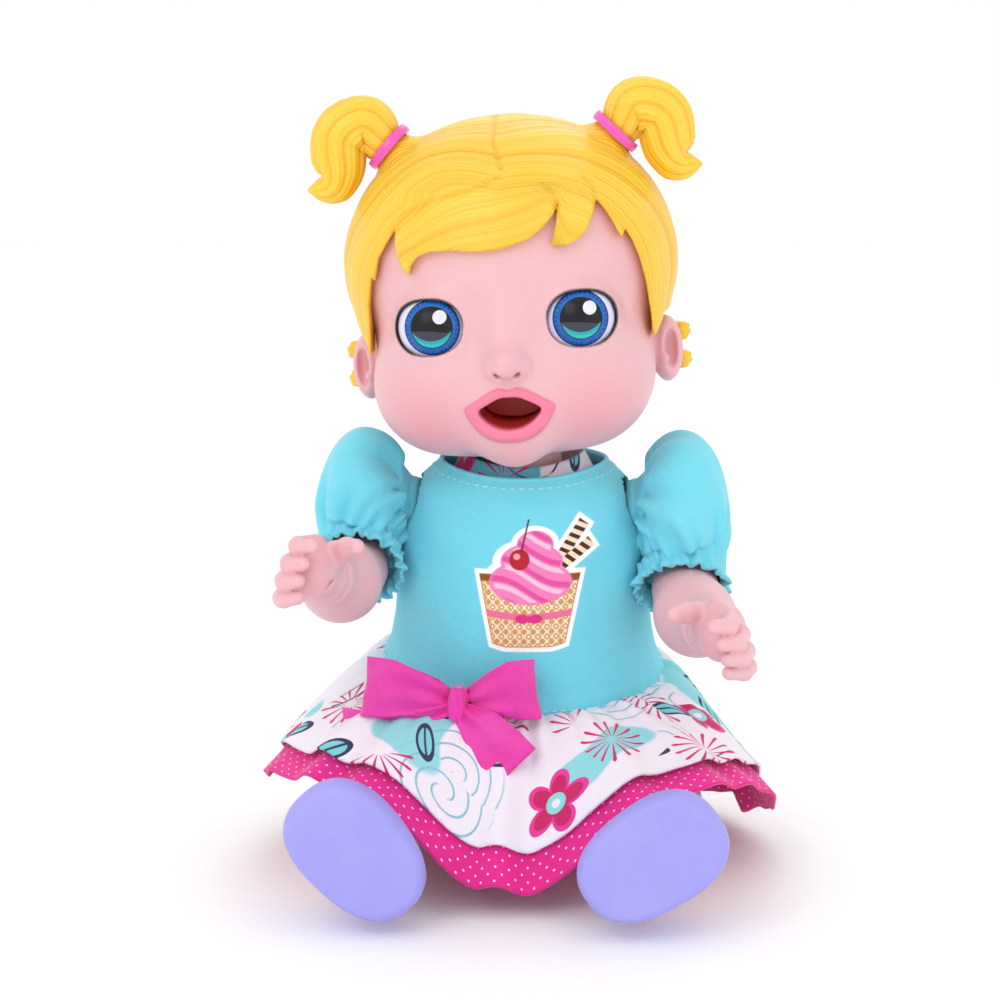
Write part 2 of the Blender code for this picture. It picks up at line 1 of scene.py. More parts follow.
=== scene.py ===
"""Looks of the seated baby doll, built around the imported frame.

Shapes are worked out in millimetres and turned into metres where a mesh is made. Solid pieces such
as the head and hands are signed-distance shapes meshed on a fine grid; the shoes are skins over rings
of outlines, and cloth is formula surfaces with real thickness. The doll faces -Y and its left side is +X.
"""

import math
from functools import partialmethod

import bmesh
import bpy
import numpy as np
import openvdb
from mathutils import Matrix, Vector


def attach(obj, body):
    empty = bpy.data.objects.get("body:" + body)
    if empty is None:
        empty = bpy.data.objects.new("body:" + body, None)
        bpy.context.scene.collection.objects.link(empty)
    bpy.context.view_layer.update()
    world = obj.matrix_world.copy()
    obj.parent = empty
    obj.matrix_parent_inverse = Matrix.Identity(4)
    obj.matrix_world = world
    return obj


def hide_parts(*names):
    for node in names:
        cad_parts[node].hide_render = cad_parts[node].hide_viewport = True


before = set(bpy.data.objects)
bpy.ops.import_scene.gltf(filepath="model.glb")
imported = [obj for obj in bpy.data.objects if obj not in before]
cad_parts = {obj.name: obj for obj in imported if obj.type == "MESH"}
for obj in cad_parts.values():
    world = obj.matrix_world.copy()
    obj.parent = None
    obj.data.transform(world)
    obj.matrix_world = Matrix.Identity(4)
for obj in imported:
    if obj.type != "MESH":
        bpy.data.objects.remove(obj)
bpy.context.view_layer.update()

MM = 0.001
NECK = Vector((0, 0, 130 * MM))
HEAD_ROLL = math.radians(4)
HEAD_PLACE = Matrix.Translation(NECK) @ Matrix.Rotation(-HEAD_ROLL, 4, "Y")
SHOULDER_Z = 112.0
ARM_PITCH = {"left": 8.0, "right": -7.0}
SIDES = {"left": 1, "right": -1}


# ------------------------------------------------------------------ signed-distance shapes, in mm
def ellipsoid(p, centre, radii):
    q = [a - c for a, c in zip(p, centre)]
    k0 = np.sqrt(sum((a / r) ** 2 for a, r in zip(q, radii)))
    k1 = np.sqrt(sum((a / r**2) ** 2 for a, r in zip(q, radii)))
    return k0 * (k0 - 1) / np.maximum(k1, 1e-9)


def ball(p, centre, radius):
    return np.sqrt(sum((a - c) ** 2 for a, c in zip(p, centre))) - radius


def limb(p, start, end, radius, end_radius=None):
    """A round-ended bar whose radius changes evenly from start to end."""
    end_radius = radius if end_radius is None else end_radius
    along = [e - s for s, e in zip(start, end)]
    length2 = sum(a * a for a in along)
    t = sum((a - s) * d for a, s, d in zip(p, start, along)) / length2
    t = np.clip(t, 0, 1)
    gap = np.sqrt(sum((a - s - t * d) ** 2 for a, s, d in zip(p, start, along)))
    return gap - (radius + (end_radius - radius) * t)


def merge(a, b, soft):
    """Both shapes, joined with a fillet about soft wide."""
    h = np.clip(0.5 + 0.5 * (b - a) / soft, 0, 1)
    return b * (1 - h) + a * h - soft * h * (1 - h)


def merge_all(shapes, soft):
    joined = shapes[0]
    for shape in shapes[1:]:
        joined = merge(joined, shape, soft)
    return joined


def carve(a, b, soft):
    """Shape a with shape b cut away, its edge rounded about soft wide."""
    return -merge(-a, b, soft)


def outline(u, v, points):
    """Signed distance to a closed outline in a plane, negative inside."""
    points = np.asarray(points, float)
    best = np.full(np.shape(u), 1e9)
    inside = np.zeros(np.shape(u), bool)
    for (ax, ay), (bx, by) in zip(points, np.roll(points, -1, axis=0)):
        ex, ey = bx - ax, by - ay
        t = np.clip(((u - ax) * ex + (v - ay) * ey) / (ex * ex + ey * ey), 0, 1)
        best = np.minimum(best, (u - ax - t * ex) ** 2 + (v - ay - t * ey) ** 2)
        crosses = (ay > v) != (by > v)
        if ey:
            inside ^= crosses & (u < ax + (v - ay) * ex / ey)
    return np.where(inside, -1, 1) * np.sqrt(best)


def rounded_path(points, steps=6, closed=True):
    """Catmull-Rom points through a short list, as a finer list."""
    points = np.asarray(points, float)
    if closed:
        rows = np.vstack([points[-1], points, points[:2]])
    else:
        rows = np.vstack([2 * points[0] - points[1], points, 2 * points[-1] - points[-2]])
    out = []
    for a, b, c, d in zip(rows, rows[1:], rows[2:], rows[3:]):
        for t in np.linspace(0, 1, steps, endpoint=False):
            out.append(0.5 * (2 * b + (c - a) * t + (2 * a - 5 * b + 4 * c - d) * t**2
                              + (3 * b - a - 3 * c + d) * t**3))
    if not closed:
        out.append(points[-1])
    return np.array(out)


def unit(vectors):
    """The same vector, or each of a list of them, one long."""
    vectors = np.asarray(vectors, float)
    return vectors / np.linalg.norm(vectors, axis=-1, keepdims=True)


def directions(line):
    """Which way a line of points runs at each point."""
    return unit(np.gradient(line, axis=0))


def ring_points(centre, radius, angles, across, up):
    """Points round a centre, from the direction across towards the direction up."""
    return centre + np.outer(radius * np.cos(angles), across) + np.outer(radius * np.sin(angles), up)


def new_mesh(name, points, faces):
    """A smooth mesh from points in mm."""
    mesh = bpy.data.meshes.new(name)
    mesh.from_pydata(np.asarray(points, float) * MM, [], faces)
    mesh.update()
    mesh.shade_smooth()
    return mesh


def volume_sign(points, corners):
    """Below 0 where the faces point in."""
    a, b, c = (points[corners[:, i]] for i in range(3))
    return np.einsum("ij,ij->i", a, np.cross(b, c)).sum()


def solid(name, low, high, step, shape, mirrored=False):
    """The zero surface of a signed-distance shape, meshed on a grid of that step.
    A mirrored shape is worked out from x = 0 up, and its other half is the same."""
    axes = [np.arange(a, b + step, step, dtype=np.float32) for a, b in zip(low, high)]
    field = np.asarray(shape(np.meshgrid(*axes, indexing="ij")), np.float32)
    if mirrored:
        field = np.concatenate([field[:0:-1], field])
        low = (-axes[0][-1], *low[1:])
    level = openvdb.FloatGrid(3 * step)
    level.copyFromArray(np.ascontiguousarray(np.clip(field, -3 * step, 3 * step)))
    points, _, quads = level.convertToPolygons(0.0, 0.0)
    points = points * step + np.array(low, float)
    if volume_sign(points, quads) < 0:
        quads = quads[:, ::-1]
    return new_mesh(name, points, quads)


def grid_faces(levels, count, closed=True):
    """The quads between rows of count points; a closed row runs round to its start."""
    faces = []
    for i in range(levels - 1):
        for j in range(count if closed else count - 1):
            k = (j + 1) % count
            faces.append((i * count + j, i * count + k, (i + 1) * count + k, (i + 1) * count + j))
    return faces


def tube_faces(levels, count):
    """The quads of a tube of rings, and its two end caps."""
    ends = [tuple(range(count))[::-1], tuple(range((levels - 1) * count, levels * count))]
    return grid_faces(levels, count) + ends


def tube_mesh(name, rings):
    """A closed skin over rings of points."""
    rings = np.asarray(rings)
    points = rings.reshape(-1, 3)
    mesh = new_mesh(name, points, tube_faces(*rings.shape[:2]))
    mesh.calc_loop_triangles()
    if volume_sign(points, np.array([t.vertices for t in mesh.loop_triangles])) < 0:
        mesh.flip_normals()
    return mesh


def points_of(mesh):
    co = np.empty(len(mesh.vertices) * 3, np.float32)
    mesh.vertices.foreach_get("co", co)
    return co.reshape(-1, 3).astype(float) / MM


def paint(mesh, name, values):
    layer = mesh.attributes.new(name, "FLOAT", "POINT")
    layer.data.foreach_set("value", np.asarray(values, np.float32).ravel())


def ramp(value, low, high):
    """0 below low, 1 above high, smooth between; low may be the larger."""
    t = np.clip((value - low) / (high - low), 0, 1)
    return t * t * (3 - 2 * t)


def add_piece(name, mesh, body, material, replaces, place=None):
    """Puts a mesh on a body, in place of the CAD nodes named in replaces."""
    obj = bpy.data.objects.new(name, mesh)
    bpy.context.scene.collection.objects.link(obj)
    mesh.materials.append(material)
    if place is not None:
        obj.matrix_world = place
    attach(obj, body)
    if replaces:
        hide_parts(*replaces)
    return obj


# ------------------------------------------------------------------ shader helpers
def srgb(code):
    """Linear colour of an sRGB hex code."""
    parts = [int(code[i : i + 2], 16) / 255 for i in (1, 3, 5)]
    linear = [c / 12.92 if c <= 0.04045 else ((c + 0.055) / 1.055) ** 2.4 for c in parts]
    return (*linear, 1.0)


class Value:
    """A number in a shader, with arithmetic that adds Math nodes."""

    def __init__(self, tree, socket):
        self.tree = tree
        self.socket = socket

    def math(self, operation, *others):
        node = self.tree.nodes.new("ShaderNodeMath")
        node.operation = operation
        for target, source in zip(node.inputs, (self, *others)):
            feed(target, source)
        return Value(self.tree, node.outputs[0])

    def __rsub__(self, other):
        return self * -1.0 + other

    def step(self, low, high):
        """0 at low, 1 at high, smooth between; low may be the larger."""
        node = self.tree.nodes.new("ShaderNodeMapRange")
        node.interpolation_type = "SMOOTHSTEP"
        ends = (0.0, 1.0) if low < high else (1.0, 0.0)
        limits = zip(("From Min", "From Max", "To Min", "To Max"), (min(low, high), max(low, high), *ends))
        for key, source in (("Value", self), *limits):
            feed(node.inputs[key], source)
        return Value(self.tree, node.outputs["Result"])


for method, operation in (
        ("__add__", "ADD"), ("__radd__", "ADD"), ("__sub__", "SUBTRACT"), ("__mul__", "MULTIPLY"),
        ("__rmul__", "MULTIPLY"), ("__truediv__", "DIVIDE"), ("sin", "SINE"), ("cos", "COSINE"),
        ("abs", "ABSOLUTE"), ("sqrt", "SQRT"), ("fract", "FRACT"), ("floor", "FLOOR"),
        ("angle", "ARCTAN2"), ("least", "MINIMUM"), ("most", "MAXIMUM")):
    setattr(Value, method, partialmethod(Value.math, operation))


def feed(target, source):
    """Links a shader input to a Value or a socket, or sets it to a number or a colour."""
    source = source.socket if isinstance(source, Value) else source
    if isinstance(source, bpy.types.NodeSocket):
        target.id_data.links.new(source, target)
    else:
        target.default_value = source


class Shader:
    """A Principled material whose colour, roughness and bump are built up in code."""

    def __init__(self, name, colour, roughness, **fixed):
        self.material = bpy.data.materials.new(name)
        self.material.use_nodes = True
        self.tree = self.material.node_tree
        self.main = self.tree.nodes["Principled BSDF"].inputs
        self.colour = srgb(colour)
        for key, value in {"Roughness": roughness, **fixed}.items():
            feed(self.main[key.replace("_", " ")], value)

    def node(self, kind, **inputs):
        node = self.tree.nodes.new(f"ShaderNode{kind}")
        for key, source in inputs.items():
            feed(node.inputs[key], source)
        return node

    def parts(self, vector, scale=1.0):
        """The x, y and z of a vector."""
        return [Value(self.tree, out) * scale for out in self.node("SeparateXYZ", Vector=vector).outputs]

    def attribute(self, name):
        node = self.node("Attribute")
        node.attribute_name = name
        return Value(self.tree, node.outputs["Fac"])

    def place(self):
        """The piece's own coordinates in mm."""
        return self.parts(self.node("TexCoord").outputs["Object"], 1000.0)

    def where(self):
        return self.vector(*self.place())

    def uv(self):
        """The cloth's flat coordinates in mm."""
        node = self.node("UVMap")
        node.uv_map = "cloth"
        return self.parts(node.outputs[0], 1000.0)[:2]

    def vector(self, x, y, z=0.0):
        return self.node("CombineXYZ", X=x, Y=y, Z=z).outputs[0]

    def noise(self, vector, scale, detail=2.0, rough=0.5):
        node = self.node("TexNoise", Vector=vector, Scale=scale, Detail=detail, Roughness=rough)
        return Value(self.tree, node.outputs["Fac"])

    def cells(self, u, v, scale, randomness=1.0):
        """Voronoi cells on the cloth: how far across and up their centre is, its distance and
        direction, and a random number for each cell."""
        node = self.node("TexVoronoi", Vector=self.vector(u, v), Scale=scale, Randomness=randomness)
        centre_u, centre_v, _ = self.parts(node.outputs["Position"])
        shade = self.node("SeparateColor", Color=node.outputs["Color"])
        across, up = u - centre_u, v - centre_v
        far = (across * across + up * up).sqrt()
        return across, up, far, up.angle(across), Value(self.tree, shade.outputs[0])

    def over(self, mask, colour):
        """Lays a colour over what is there, where mask is 1."""
        node = self.node("Mix")
        node.data_type = "RGBA"
        under, upper = (socket for socket in node.inputs if socket.type == "RGBA")
        feed(node.inputs["Factor"], mask)
        feed(under, self.colour)
        feed(upper, srgb(colour))
        self.colour = node.outputs[2]

    def rough(self, value):
        feed(self.main["Roughness"], value)

    def bump(self, height, distance=0.1, strength=1.0):
        """A relief from a height, 0 to 1, that stands for distance mm."""
        node = self.node("Bump", Strength=strength, Distance=distance * MM, Height=height)
        if self.main["Normal"].links:
            feed(node.inputs["Normal"], self.main["Normal"].links[0].from_socket)
        feed(self.main["Normal"], node.outputs[0])

    def done(self):
        feed(self.main["Base Color"], self.colour)
        return self.material


# ------------------------------------------------------------------ materials
def vinyl():
    """Soft pink vinyl, blushed where the paint masks say."""
    s = Shader("skin", "#E7B5BB", 0.42, Coat_Weight=0.12, Coat_Roughness=0.3, Subsurface_Weight=0.12,
               Subsurface_Radius=(0.004, 0.0015, 0.001), Subsurface_Scale=1.0)
    where = s.where()
    mottle = s.noise(where, 0.06, 3.0)
    s.over(mottle.step(0.45, 0.75) * 0.25, "#ECC5C5")
    for mask, strength, colour in (("blush", 0.42, "#E58C9C"), ("lips", 1.0, "#EE7F9C"),
                                   ("throat", 1.0, "#C8201C"), ("tongue", 1.0, "#F24A34"),
                                   ("liner", 1.0, "#0B0910")):
        s.over(s.attribute(mask) * strength, colour)
    shine = s.attribute("lips").most(s.attribute("throat"))
    s.rough(0.42 - shine * 0.26 + mottle * 0.08)
    s.bump(s.noise(where, 1.6, 3.0, 0.6), 0.05)
    return s.done()


def hair_material():
    s = Shader("hair_vinyl", "#F9CC34", 0.36, Subsurface_Weight=0.08, Coat_Weight=0.2,
               Coat_Roughness=0.25)
    where = s.where()
    s.over(s.noise(where, 0.05, 2.0).step(0.4, 0.7) * 0.35, "#FCD85A")
    flow, behind, back = (s.attribute(mask) for mask in ("flow", "back_flow", "back"))
    front_lines, back_lines = (((way * 4.3).sin() * (way * 2.9).sin()).abs() for way in (flow, behind))
    lines = front_lines * (back * -1.0 + 1.0) + back_lines * back
    # Painted shade: a darker orange yellow laid into the grooves between the moulded strands, where shade
    # falls
    s.over(s.attribute("groove_shade") * 0.85, "#F2AC00")
    # Painted shade: thin darker lines along the bottoms of the strand grooves, where the bump is lowest
    s.over(lines.step(0.22, 0.0) * flow.abs().step(0.001, 0.01) * 0.3, "#EFA400")
    s.rough(0.3 + s.noise(where, 0.7, 3.0) * 0.16)
    s.bump(lines, 0.22)
    s.bump(s.noise(where, 1.1, 4.0, 0.6), 0.06)
    return s.done()


def eye_material(name):
    """A painted eye. The piece's own -Y is where it looks."""
    s = Shader(name, "#DDD9EF", 0.3, Coat_Weight=0.12, Coat_Roughness=0.08, IOR=1.35)
    u, _, v = s.place()
    far = (u * u + v * v).sqrt()
    turn = v.angle(u)
    streaks = (turn * 34.0).sin() * 0.5 + 0.5
    cloud = s.noise(s.vector(turn * 3.0, far * 0.4), 2.0, 2.0)
    iris = far.step(8.9, 8.7)
    s.over(iris, "#0B2A66")
    s.over(far.step(8.5, 8.2), "#1766B9")
    s.over(far.step(8.5, 8.2) * streaks * far.step(6.9, 8.0) * 0.8, "#0A3C86")
    s.over(far.step(8.4, 8.0) * cloud.step(0.5, 0.8) * 0.5, "#2E8AD6")
    pupil = far.step(6.75, 6.6)
    s.over(pupil, "#0A0A12")
    lower = (v + u * 0.1 + far * 0.06).step(-0.9, -1.2)
    s.over(pupil * lower, "#3A3D4C")
    above = (u * u + (v - 3.6) * (v - 3.6)).sqrt()
    s.over(pupil * above.step(7.7, 7.9) * far.step(6.3, 6.1), "#1FA9B4")
    s.over(pupil * above.step(8.5, 9.0) * far.step(6.3, 6.1), "#27C2C6")
    glint = ((u - 2.8) * (u - 2.8) + (v - 3.2) * (v - 3.2)).sqrt()
    s.over(glint.step(2.25, 2.05), "#E4E2F4")
    s.rough(0.32 + s.noise(s.where(), 0.8, 2.0) * 0.08)
    return s.done()


# ------------------------------------------------------------------ head
EYE = (22.6, -34.5, 49.5)
EYE_RADIUS = 12.0
EYE_OPENING = (10.8, 8.55)
EYE_OUTWARD = math.radians(10)
HAIR_THICK = 3.9
MOUTH_OPENING = ((9.8, 22.9), (6.5, 25.2), (3.0, 26.8), (0, 27.0), (-3.0, 26.8), (-6.5, 25.2),
                 (-9.8, 22.9), (-7.6, 19.8), (-4.0, 17.7), (0, 17.0), (4.0, 17.7), (7.6, 19.8))
LIP_EDGE = ((14.4, 24.1), (11.0, 26.4), (7.0, 28.8), (3.8, 30.1), (2.2, 30.2), (0, 29.5), (-2.2, 30.2),
            (-3.8, 30.1), (-7.0, 28.8), (-11.0, 26.4), (-14.4, 24.1), (-13.4, 20.8), (-11.2, 17.2),
            (-8.0, 14.3), (-4.2, 12.8), (0, 12.5), (4.2, 12.8), (8.0, 14.3), (11.2, 17.2), (13.4, 20.8))


def skull(p):
    return merge(ellipsoid(p, (0, 3, 66), (51, 48, 44)), ellipsoid(p, (0, -8, 31), (45.5, 39, 28.5)), 12)


def eye_plane(p):
    """Across and up, in mm, on the plane that the eye opening lies in."""
    dx, dy, dz = (a - c for a, c in zip(p, EYE))
    return dx * math.cos(EYE_OUTWARD) + dy * math.sin(EYE_OUTWARD), dz


def eye_opening(p):
    """Below 0 inside the eye's opening, in mm from its edge."""
    u, v = eye_plane(p)
    far = ((np.abs(u) / EYE_OPENING[0]) ** 2.3 + (np.abs(v) / EYE_OPENING[1]) ** 2.3) ** (1 / 2.3)
    return (far - 1) * EYE_OPENING[1]


def flat_outline(p, points):
    """Distance to an outline drawn in the x-z plane, for a grid or for a list of points."""
    x, _, z = p
    if x.ndim == 3:
        return outline(x[:, 0, :], z[:, 0, :], points)[:, None, :]
    return outline(x, z, points)


def lip_inside(p):
    """How far in from the lips' outer edge a point lies, in mm."""
    return -flat_outline(p, rounded_path(LIP_EDGE, 4))


def lip_height(p):
    from_hole = flat_outline(p, rounded_path(MOUTH_OPENING)) + 0.7
    inside = np.clip(np.minimum(lip_inside(p), from_hole) / 1.9, 0, 1)
    fullness = 1.5 + 0.9 * ramp(p[2], 21, 16)
    return fullness * np.sqrt(1 - (1 - inside) ** 2) * ramp(p[1], -34, -39)


def head_shape(p):
    """The right half of the face is the left half's mirror, so p has no x below 0."""
    f = skull(p)
    cheek, chin, eyelids = ball(p, (24, -26, 28), 18.5), ball(p, (0, -35, 12), 8.5), ball(p, EYE, 12.9)
    jaw, bridge = ellipsoid(p, (0, -37, 20), (17, 9.5, 12)), limb(p, (0, -40, 50), (0, -44, 40), 4.0)
    nose, nostril = ball(p, (0, -48.2, 37.3), 5.0), ball(p, (4.3, -46.4, 36.2), 2.9)
    for bulge, soft in ((cheek, 12), (chin, 8), (jaw, 8), (eyelids, 5), (bridge, 9), (nose, 4),
                        (nostril, 2.2)):
        f = merge(f, bulge, soft)
    f = carve(f, limb(p, (3.1, -51.4, 32.6), (2.9, -48.0, 35.8), 1.15), 0.8)
    f = carve(f, limb(p, (0, -50.0, 32.6), (0, -49.4, 30.4), 0.8), 1.5)
    ear = ellipsoid(p, (49.5, 2.5, 34), (5.4, 7.5, 11))
    ear = carve(ear, ellipsoid(p, (51.2, -5.5, 34.5), (2.3, 6.5, 7.6)), 1.2)
    ear = merge(ear, ball(p, (49.0, -3.6, 31.5), 1.5), 1.2)
    f = merge(f, ear, 2.0)
    f = f - lip_height(p)
    f = carve(f, mouth_tunnel(p), 0.9)
    f = carve(f, np.maximum(eye_opening(p), p[1] + 34), 0.7)
    f = carve(f, ball(p, EYE, EYE_RADIUS + 0.35), 0.2)
    f = np.maximum(f, -ellipsoid(p, (0, -12, 22), (21, 21.5, 12)))
    neck = np.sqrt(p[0] ** 2 + p[1] ** 2)
    f = np.maximum(f, -np.maximum(neck - 14, p[2] - 12))
    return np.maximum(f, -np.maximum(neck - 21, np.abs(p[2] - 10) - 5))


def mouth_tunnel(p):
    return np.maximum(flat_outline(p, rounded_path(MOUTH_OPENING)), p[1] + 26)


def paint_face(mesh):
    x, y, z = points_of(mesh).T
    half = (np.abs(x), y, z)
    lip_y = -46.5 + 0.02 * x * x
    inside_mouth = ramp(mouth_tunnel(half), 0.9, 0.4) * ramp(y, lip_y + 0.2, lip_y + 1.4)
    paint(mesh, "throat", inside_mouth)
    paint(mesh, "tongue", inside_mouth * ramp(z, 20.5, 19.0))
    paint(mesh, "lips", ramp(lip_inside(half), -0.15, 0.35) * (1 - inside_mouth) * ramp(y, -36, -40))
    cheek = 0.85 * ramp(ball(half, (27, -42, 22), 0), 22, 3)
    nose = ramp(ball(half, (0, -52, 37), 0), 9, 2) * 0.35
    chin = ramp(ball(half, (0, -42, 8), 0), 12, 2) * 0.3
    ear = ramp(ball(half, (52, 0, 34), 0), 11, 3) * 0.5
    paint(mesh, "blush", np.maximum.reduce([cheek, nose, chin, ear]))
    u, v = eye_plane(half)
    edge = eye_opening(half)
    width = 0.2 + 0.8 * ramp(v + 0.5 * u, -3.0, 8.0)
    liner = ramp(edge, width + 0.35, width - 0.2) * ramp(y, -30, -33) * ramp(v + 0.6 * u, -9.0, -3.0)
    paint(mesh, "liner", liner)


def head():
    skin = vinyl()
    mesh = solid("head", (0, -58, -2), (57, 52, 111), 0.6, head_shape, mirrored=True)
    paint_face(mesh)
    add_piece("head", mesh, "head", skin, ["head_shell"], HEAD_PLACE)
    return skin


def eyes():
    gaze_x = math.radians(-2.7)
    for name, side in SIDES.items():
        bpy.ops.mesh.primitive_uv_sphere_add(segments=64, ring_count=40, radius=EYE_RADIUS * MM)
        obj = bpy.context.object
        obj.name = f"eyeball_{name}"
        obj.data.name = obj.name
        obj.data.shade_smooth()
        centre = Vector((side * EYE[0], EYE[1], EYE[2])) * MM
        gaze_z = math.radians(3 + 4.6 * side)
        turn = Matrix.Rotation(gaze_z, 4, "Z") @ Matrix.Rotation(gaze_x, 4, "X")
        obj.matrix_world = HEAD_PLACE @ Matrix.Translation(centre) @ turn
        obj.data.materials.append(eye_material(f"eye_{name}"))
        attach(obj, "head")
        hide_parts(f"eye_{name}")


# ------------------------------------------------------------------ hair
FACE_WINDOW = (
    (-80, 48), (-56, 48), (-50, 46.5), (-47.5, 43), (-45.8, 38.5), (-45.4, 45), (-44.6, 56),
    (-42.6, 65.5), (-41.6, 64), (-39.6, 71.5), (-36.6, 76), (-33.6, 80), (-33.4, 73), (-31.6, 68.5),
    (-29.4, 66.2), (-28.4, 69.4), (-26, 72), (-21.8, 73.4), (-15.4, 73.5), (-9, 72.8), (-3, 72.4),
    (3.3, 73.5), (9.5, 75.6), (14.3, 79), (17.2, 82.3), (18.7, 85.5), (18.0, 81), (17.2, 77.2),
    (16.0, 73.8), (17.2, 72.6), (20.8, 72.7), (24.7, 74.3), (27.4, 77.1), (29.2, 81), (30.5, 85.5),
    (32.4, 83.3), (34.8, 79.3), (36.7, 75.4), (37.8, 73.4), (39, 75.6), (41, 71.8), (42.9, 66),
    (44.4, 58), (45.2, 48), (45.6, 40), (47.2, 41.5), (50, 46.5), (56, 48), (80, 48), (80, -30),
    (-80, -30))
BEHIND_EARS = ((-8, 46.5), (9, 46.5), (13, 42), (14, 30), (16, 15), (24, 8), (40, 6), (60, 6), (60, -30),
               (-8, -30))
CREASES = (((18.7, 85), (18, 88), (14.5, 92)), ((30.5, 85), (30, 90), (27, 93)),
           ((-33.6, 80), (-30, 85), (-21, 89), (-9, 91.5), (1, 95)),
           ((-1.7, 113), (-1.2, 105.5), (1.8, 97)))


def wave(phase, sharp=0.6):
    """Rounded ridges between narrow grooves, 0 in the groove and 1 on the ridge."""
    return np.abs(np.sin(phase * 0.5)) ** sharp


def strand_flow(x, y, z):
    """A number that stays the same along each moulded strand of hair."""
    ring = np.arctan2(np.sqrt(x**2 + (z - 60) ** 2), -(y - 4))
    turn = np.abs(np.arctan2(x - 1.0, z - 60))
    round_head = ring * 21 - turn * 5.5
    fringe = (z - 72 - 0.010 * (x + 8) ** 2 * np.sign(x + 8)) * 0.62 - 0.05 * x
    share = ramp(z, 93, 87) * ramp(np.abs(x + 8), 30, 22) * ramp(y, -20, -32)
    phase = round_head * (1 - share) + fringe * share
    return phase + 0.9 * np.sin(phase * 0.37 + x * 0.05) + 0.6 * np.sin(x * 0.11 + z * 0.07)


def back_flow(x, z):
    """The same for the strands behind the head, which fan out of each pigtail's root."""
    fan = 26 * np.arctan2(36 - np.abs(x), 105 - z)
    return fan + 0.8 * np.sin(fan * 0.45 + z * 0.03)


def back_share(y):
    """0 on the front strands to 1 on those behind the head."""
    return ramp(y, 12, 26)


def strands(x, y, z):
    """The height of the moulded strands, 0 in the grooves to 1."""
    front, back = (0.6 * wave(flow) + 0.4 * wave(flow * 2.6 + 1.0)
                   for flow in (strand_flow(x, y, z), back_flow(x, z)))
    return front + (back - front) * back_share(y)


def crease_depth(x, y, z):
    depth = np.zeros_like(x)
    for route in CREASES:
        for (ax, az), (bx, bz) in zip(route, route[1:]):
            gap = limb((x, z), (ax, az), (bx, bz), 0.0)
            depth = np.maximum(depth, np.exp(-((gap / 0.8) ** 2)))
    parting = np.exp(-(((x + 0.7 * np.sin(z * 0.09)) / 1.0) ** 2)) * ramp(z, 18, 34)
    return depth * ramp(y, 5, -5) + parting * ramp(y, 2, 16)


def hair_cover(p):
    x, y, z = p
    base = skull(p)
    height = HAIR_THICK - 0.9 + 1.15 * strands(x, y, z) - 0.9 * crease_depth(x, y, z)
    shell = np.maximum(base - height, -(base + 0.8))
    window = outline(x[:, 0, :], z[:, 0, :], FACE_WINDOW)[:, None, :]
    behind = outline(y[0], z[0], BEHIND_EARS)[None]
    bare = np.minimum(np.maximum(window, y - 1), behind)
    cover = carve(shell, bare, 1.5)
    for side in SIDES.values():
        for low, tip in ((37.0, 38.6), (29.5, 29.2)):
            tuft = limb(p, (side * 46, 16, low), (side * 54.6, 11.5, tip), 5.2, 3.2)
            cover = merge(cover, tuft + 0.3 * np.cos(z * 2.6 + x * 0.3), 1.6)
        root, out = pigtail_root(side)
        cover = merge(cover, limb(p, root - out * 9, root - out * 4.5, 12, 7.8), 4.0)
    return cover


def pigtail_root(side):
    """Where a pigtail leaves the head, in mm, and which way."""
    return np.array((side * 36.0, 0, 104.8)), np.array((side * 0.72, 0, 0.70))


def pigtail(name, side, material):
    """Strands that leave the tie, arch over and flick outwards to a point."""
    root, out = pigtail_root(side)
    route = rounded_path([root - out * 3, root + out * 4, (side * 44.5, 0, 113.5), (side * 52.5, -0.5, 109.5),
                          (side * 54.2, -1.5, 99), (side * 57.5, -2.5, 94.0), (side * 64.5, -3, 93.6)],
                         14, closed=False)
    radii = np.interp(np.linspace(0, 1, len(route)), (0, 0.14, 0.3, 0.45, 0.62, 0.8, 0.93, 1),
                      (6.6, 6.6, 8.8, 9.6, 8.6, 6.4, 3.2, 0.5))
    around = np.linspace(0, 2 * math.pi, 120, endpoint=False)
    rings, depths = [], []
    for i, (centre, radius, way) in enumerate(zip(route, radii, directions(route))):
        up = unit(np.cross(way, (0, 1.0, 0)))
        across = np.cross(up, way)
        turned = around + i * 0.014
        ridge = 0.7 * wave(9 * turned) + 0.3 * wave(27 * turned + 1)
        grow = radius * (0.87 + 0.19 * ridge * ramp(i, 2, 14))
        rings.append(ring_points(centre, grow, around, across, up))
        depths.append(1 - ridge)
    mesh = tube_mesh(f"pigtail_{name}", rings)
    # Mask for painted shade: darker in the grooves between the pigtail's strands
    paint(mesh, "groove_shade", np.concatenate(depths) ** 1.5)
    add_piece(f"pigtail_{name}_strands", mesh, "head", material, [f"pigtail_{name}"],
              HEAD_PLACE)


def hair():
    material = hair_material()
    mesh = solid("hair", (-60, -60, 0), (60, 60, 118), 0.6, hair_cover)
    x, y, z = points_of(mesh).T
    outer = ramp(skull((x, y, z)), 1.5, 3.0)
    depth = np.maximum((1 - strands(x, y, z)) ** 1.4, 0.5 * crease_depth(x, y, z))
    # Mask for painted shade: deepest in the grooves and creases on the outer side, half strength on the inner
    # side of the shell
    paint(mesh, "groove_shade", outer * depth + (1 - outer) * 0.5)
    paint(mesh, "flow", strand_flow(x, y, z))
    paint(mesh, "back_flow", back_flow(x, z))
    paint(mesh, "back", back_share(y))
    add_piece("moulded_hair", mesh, "head", material, ["hair_cap"], HEAD_PLACE)
    for name, side in SIDES.items():
        pigtail(name, side, material)


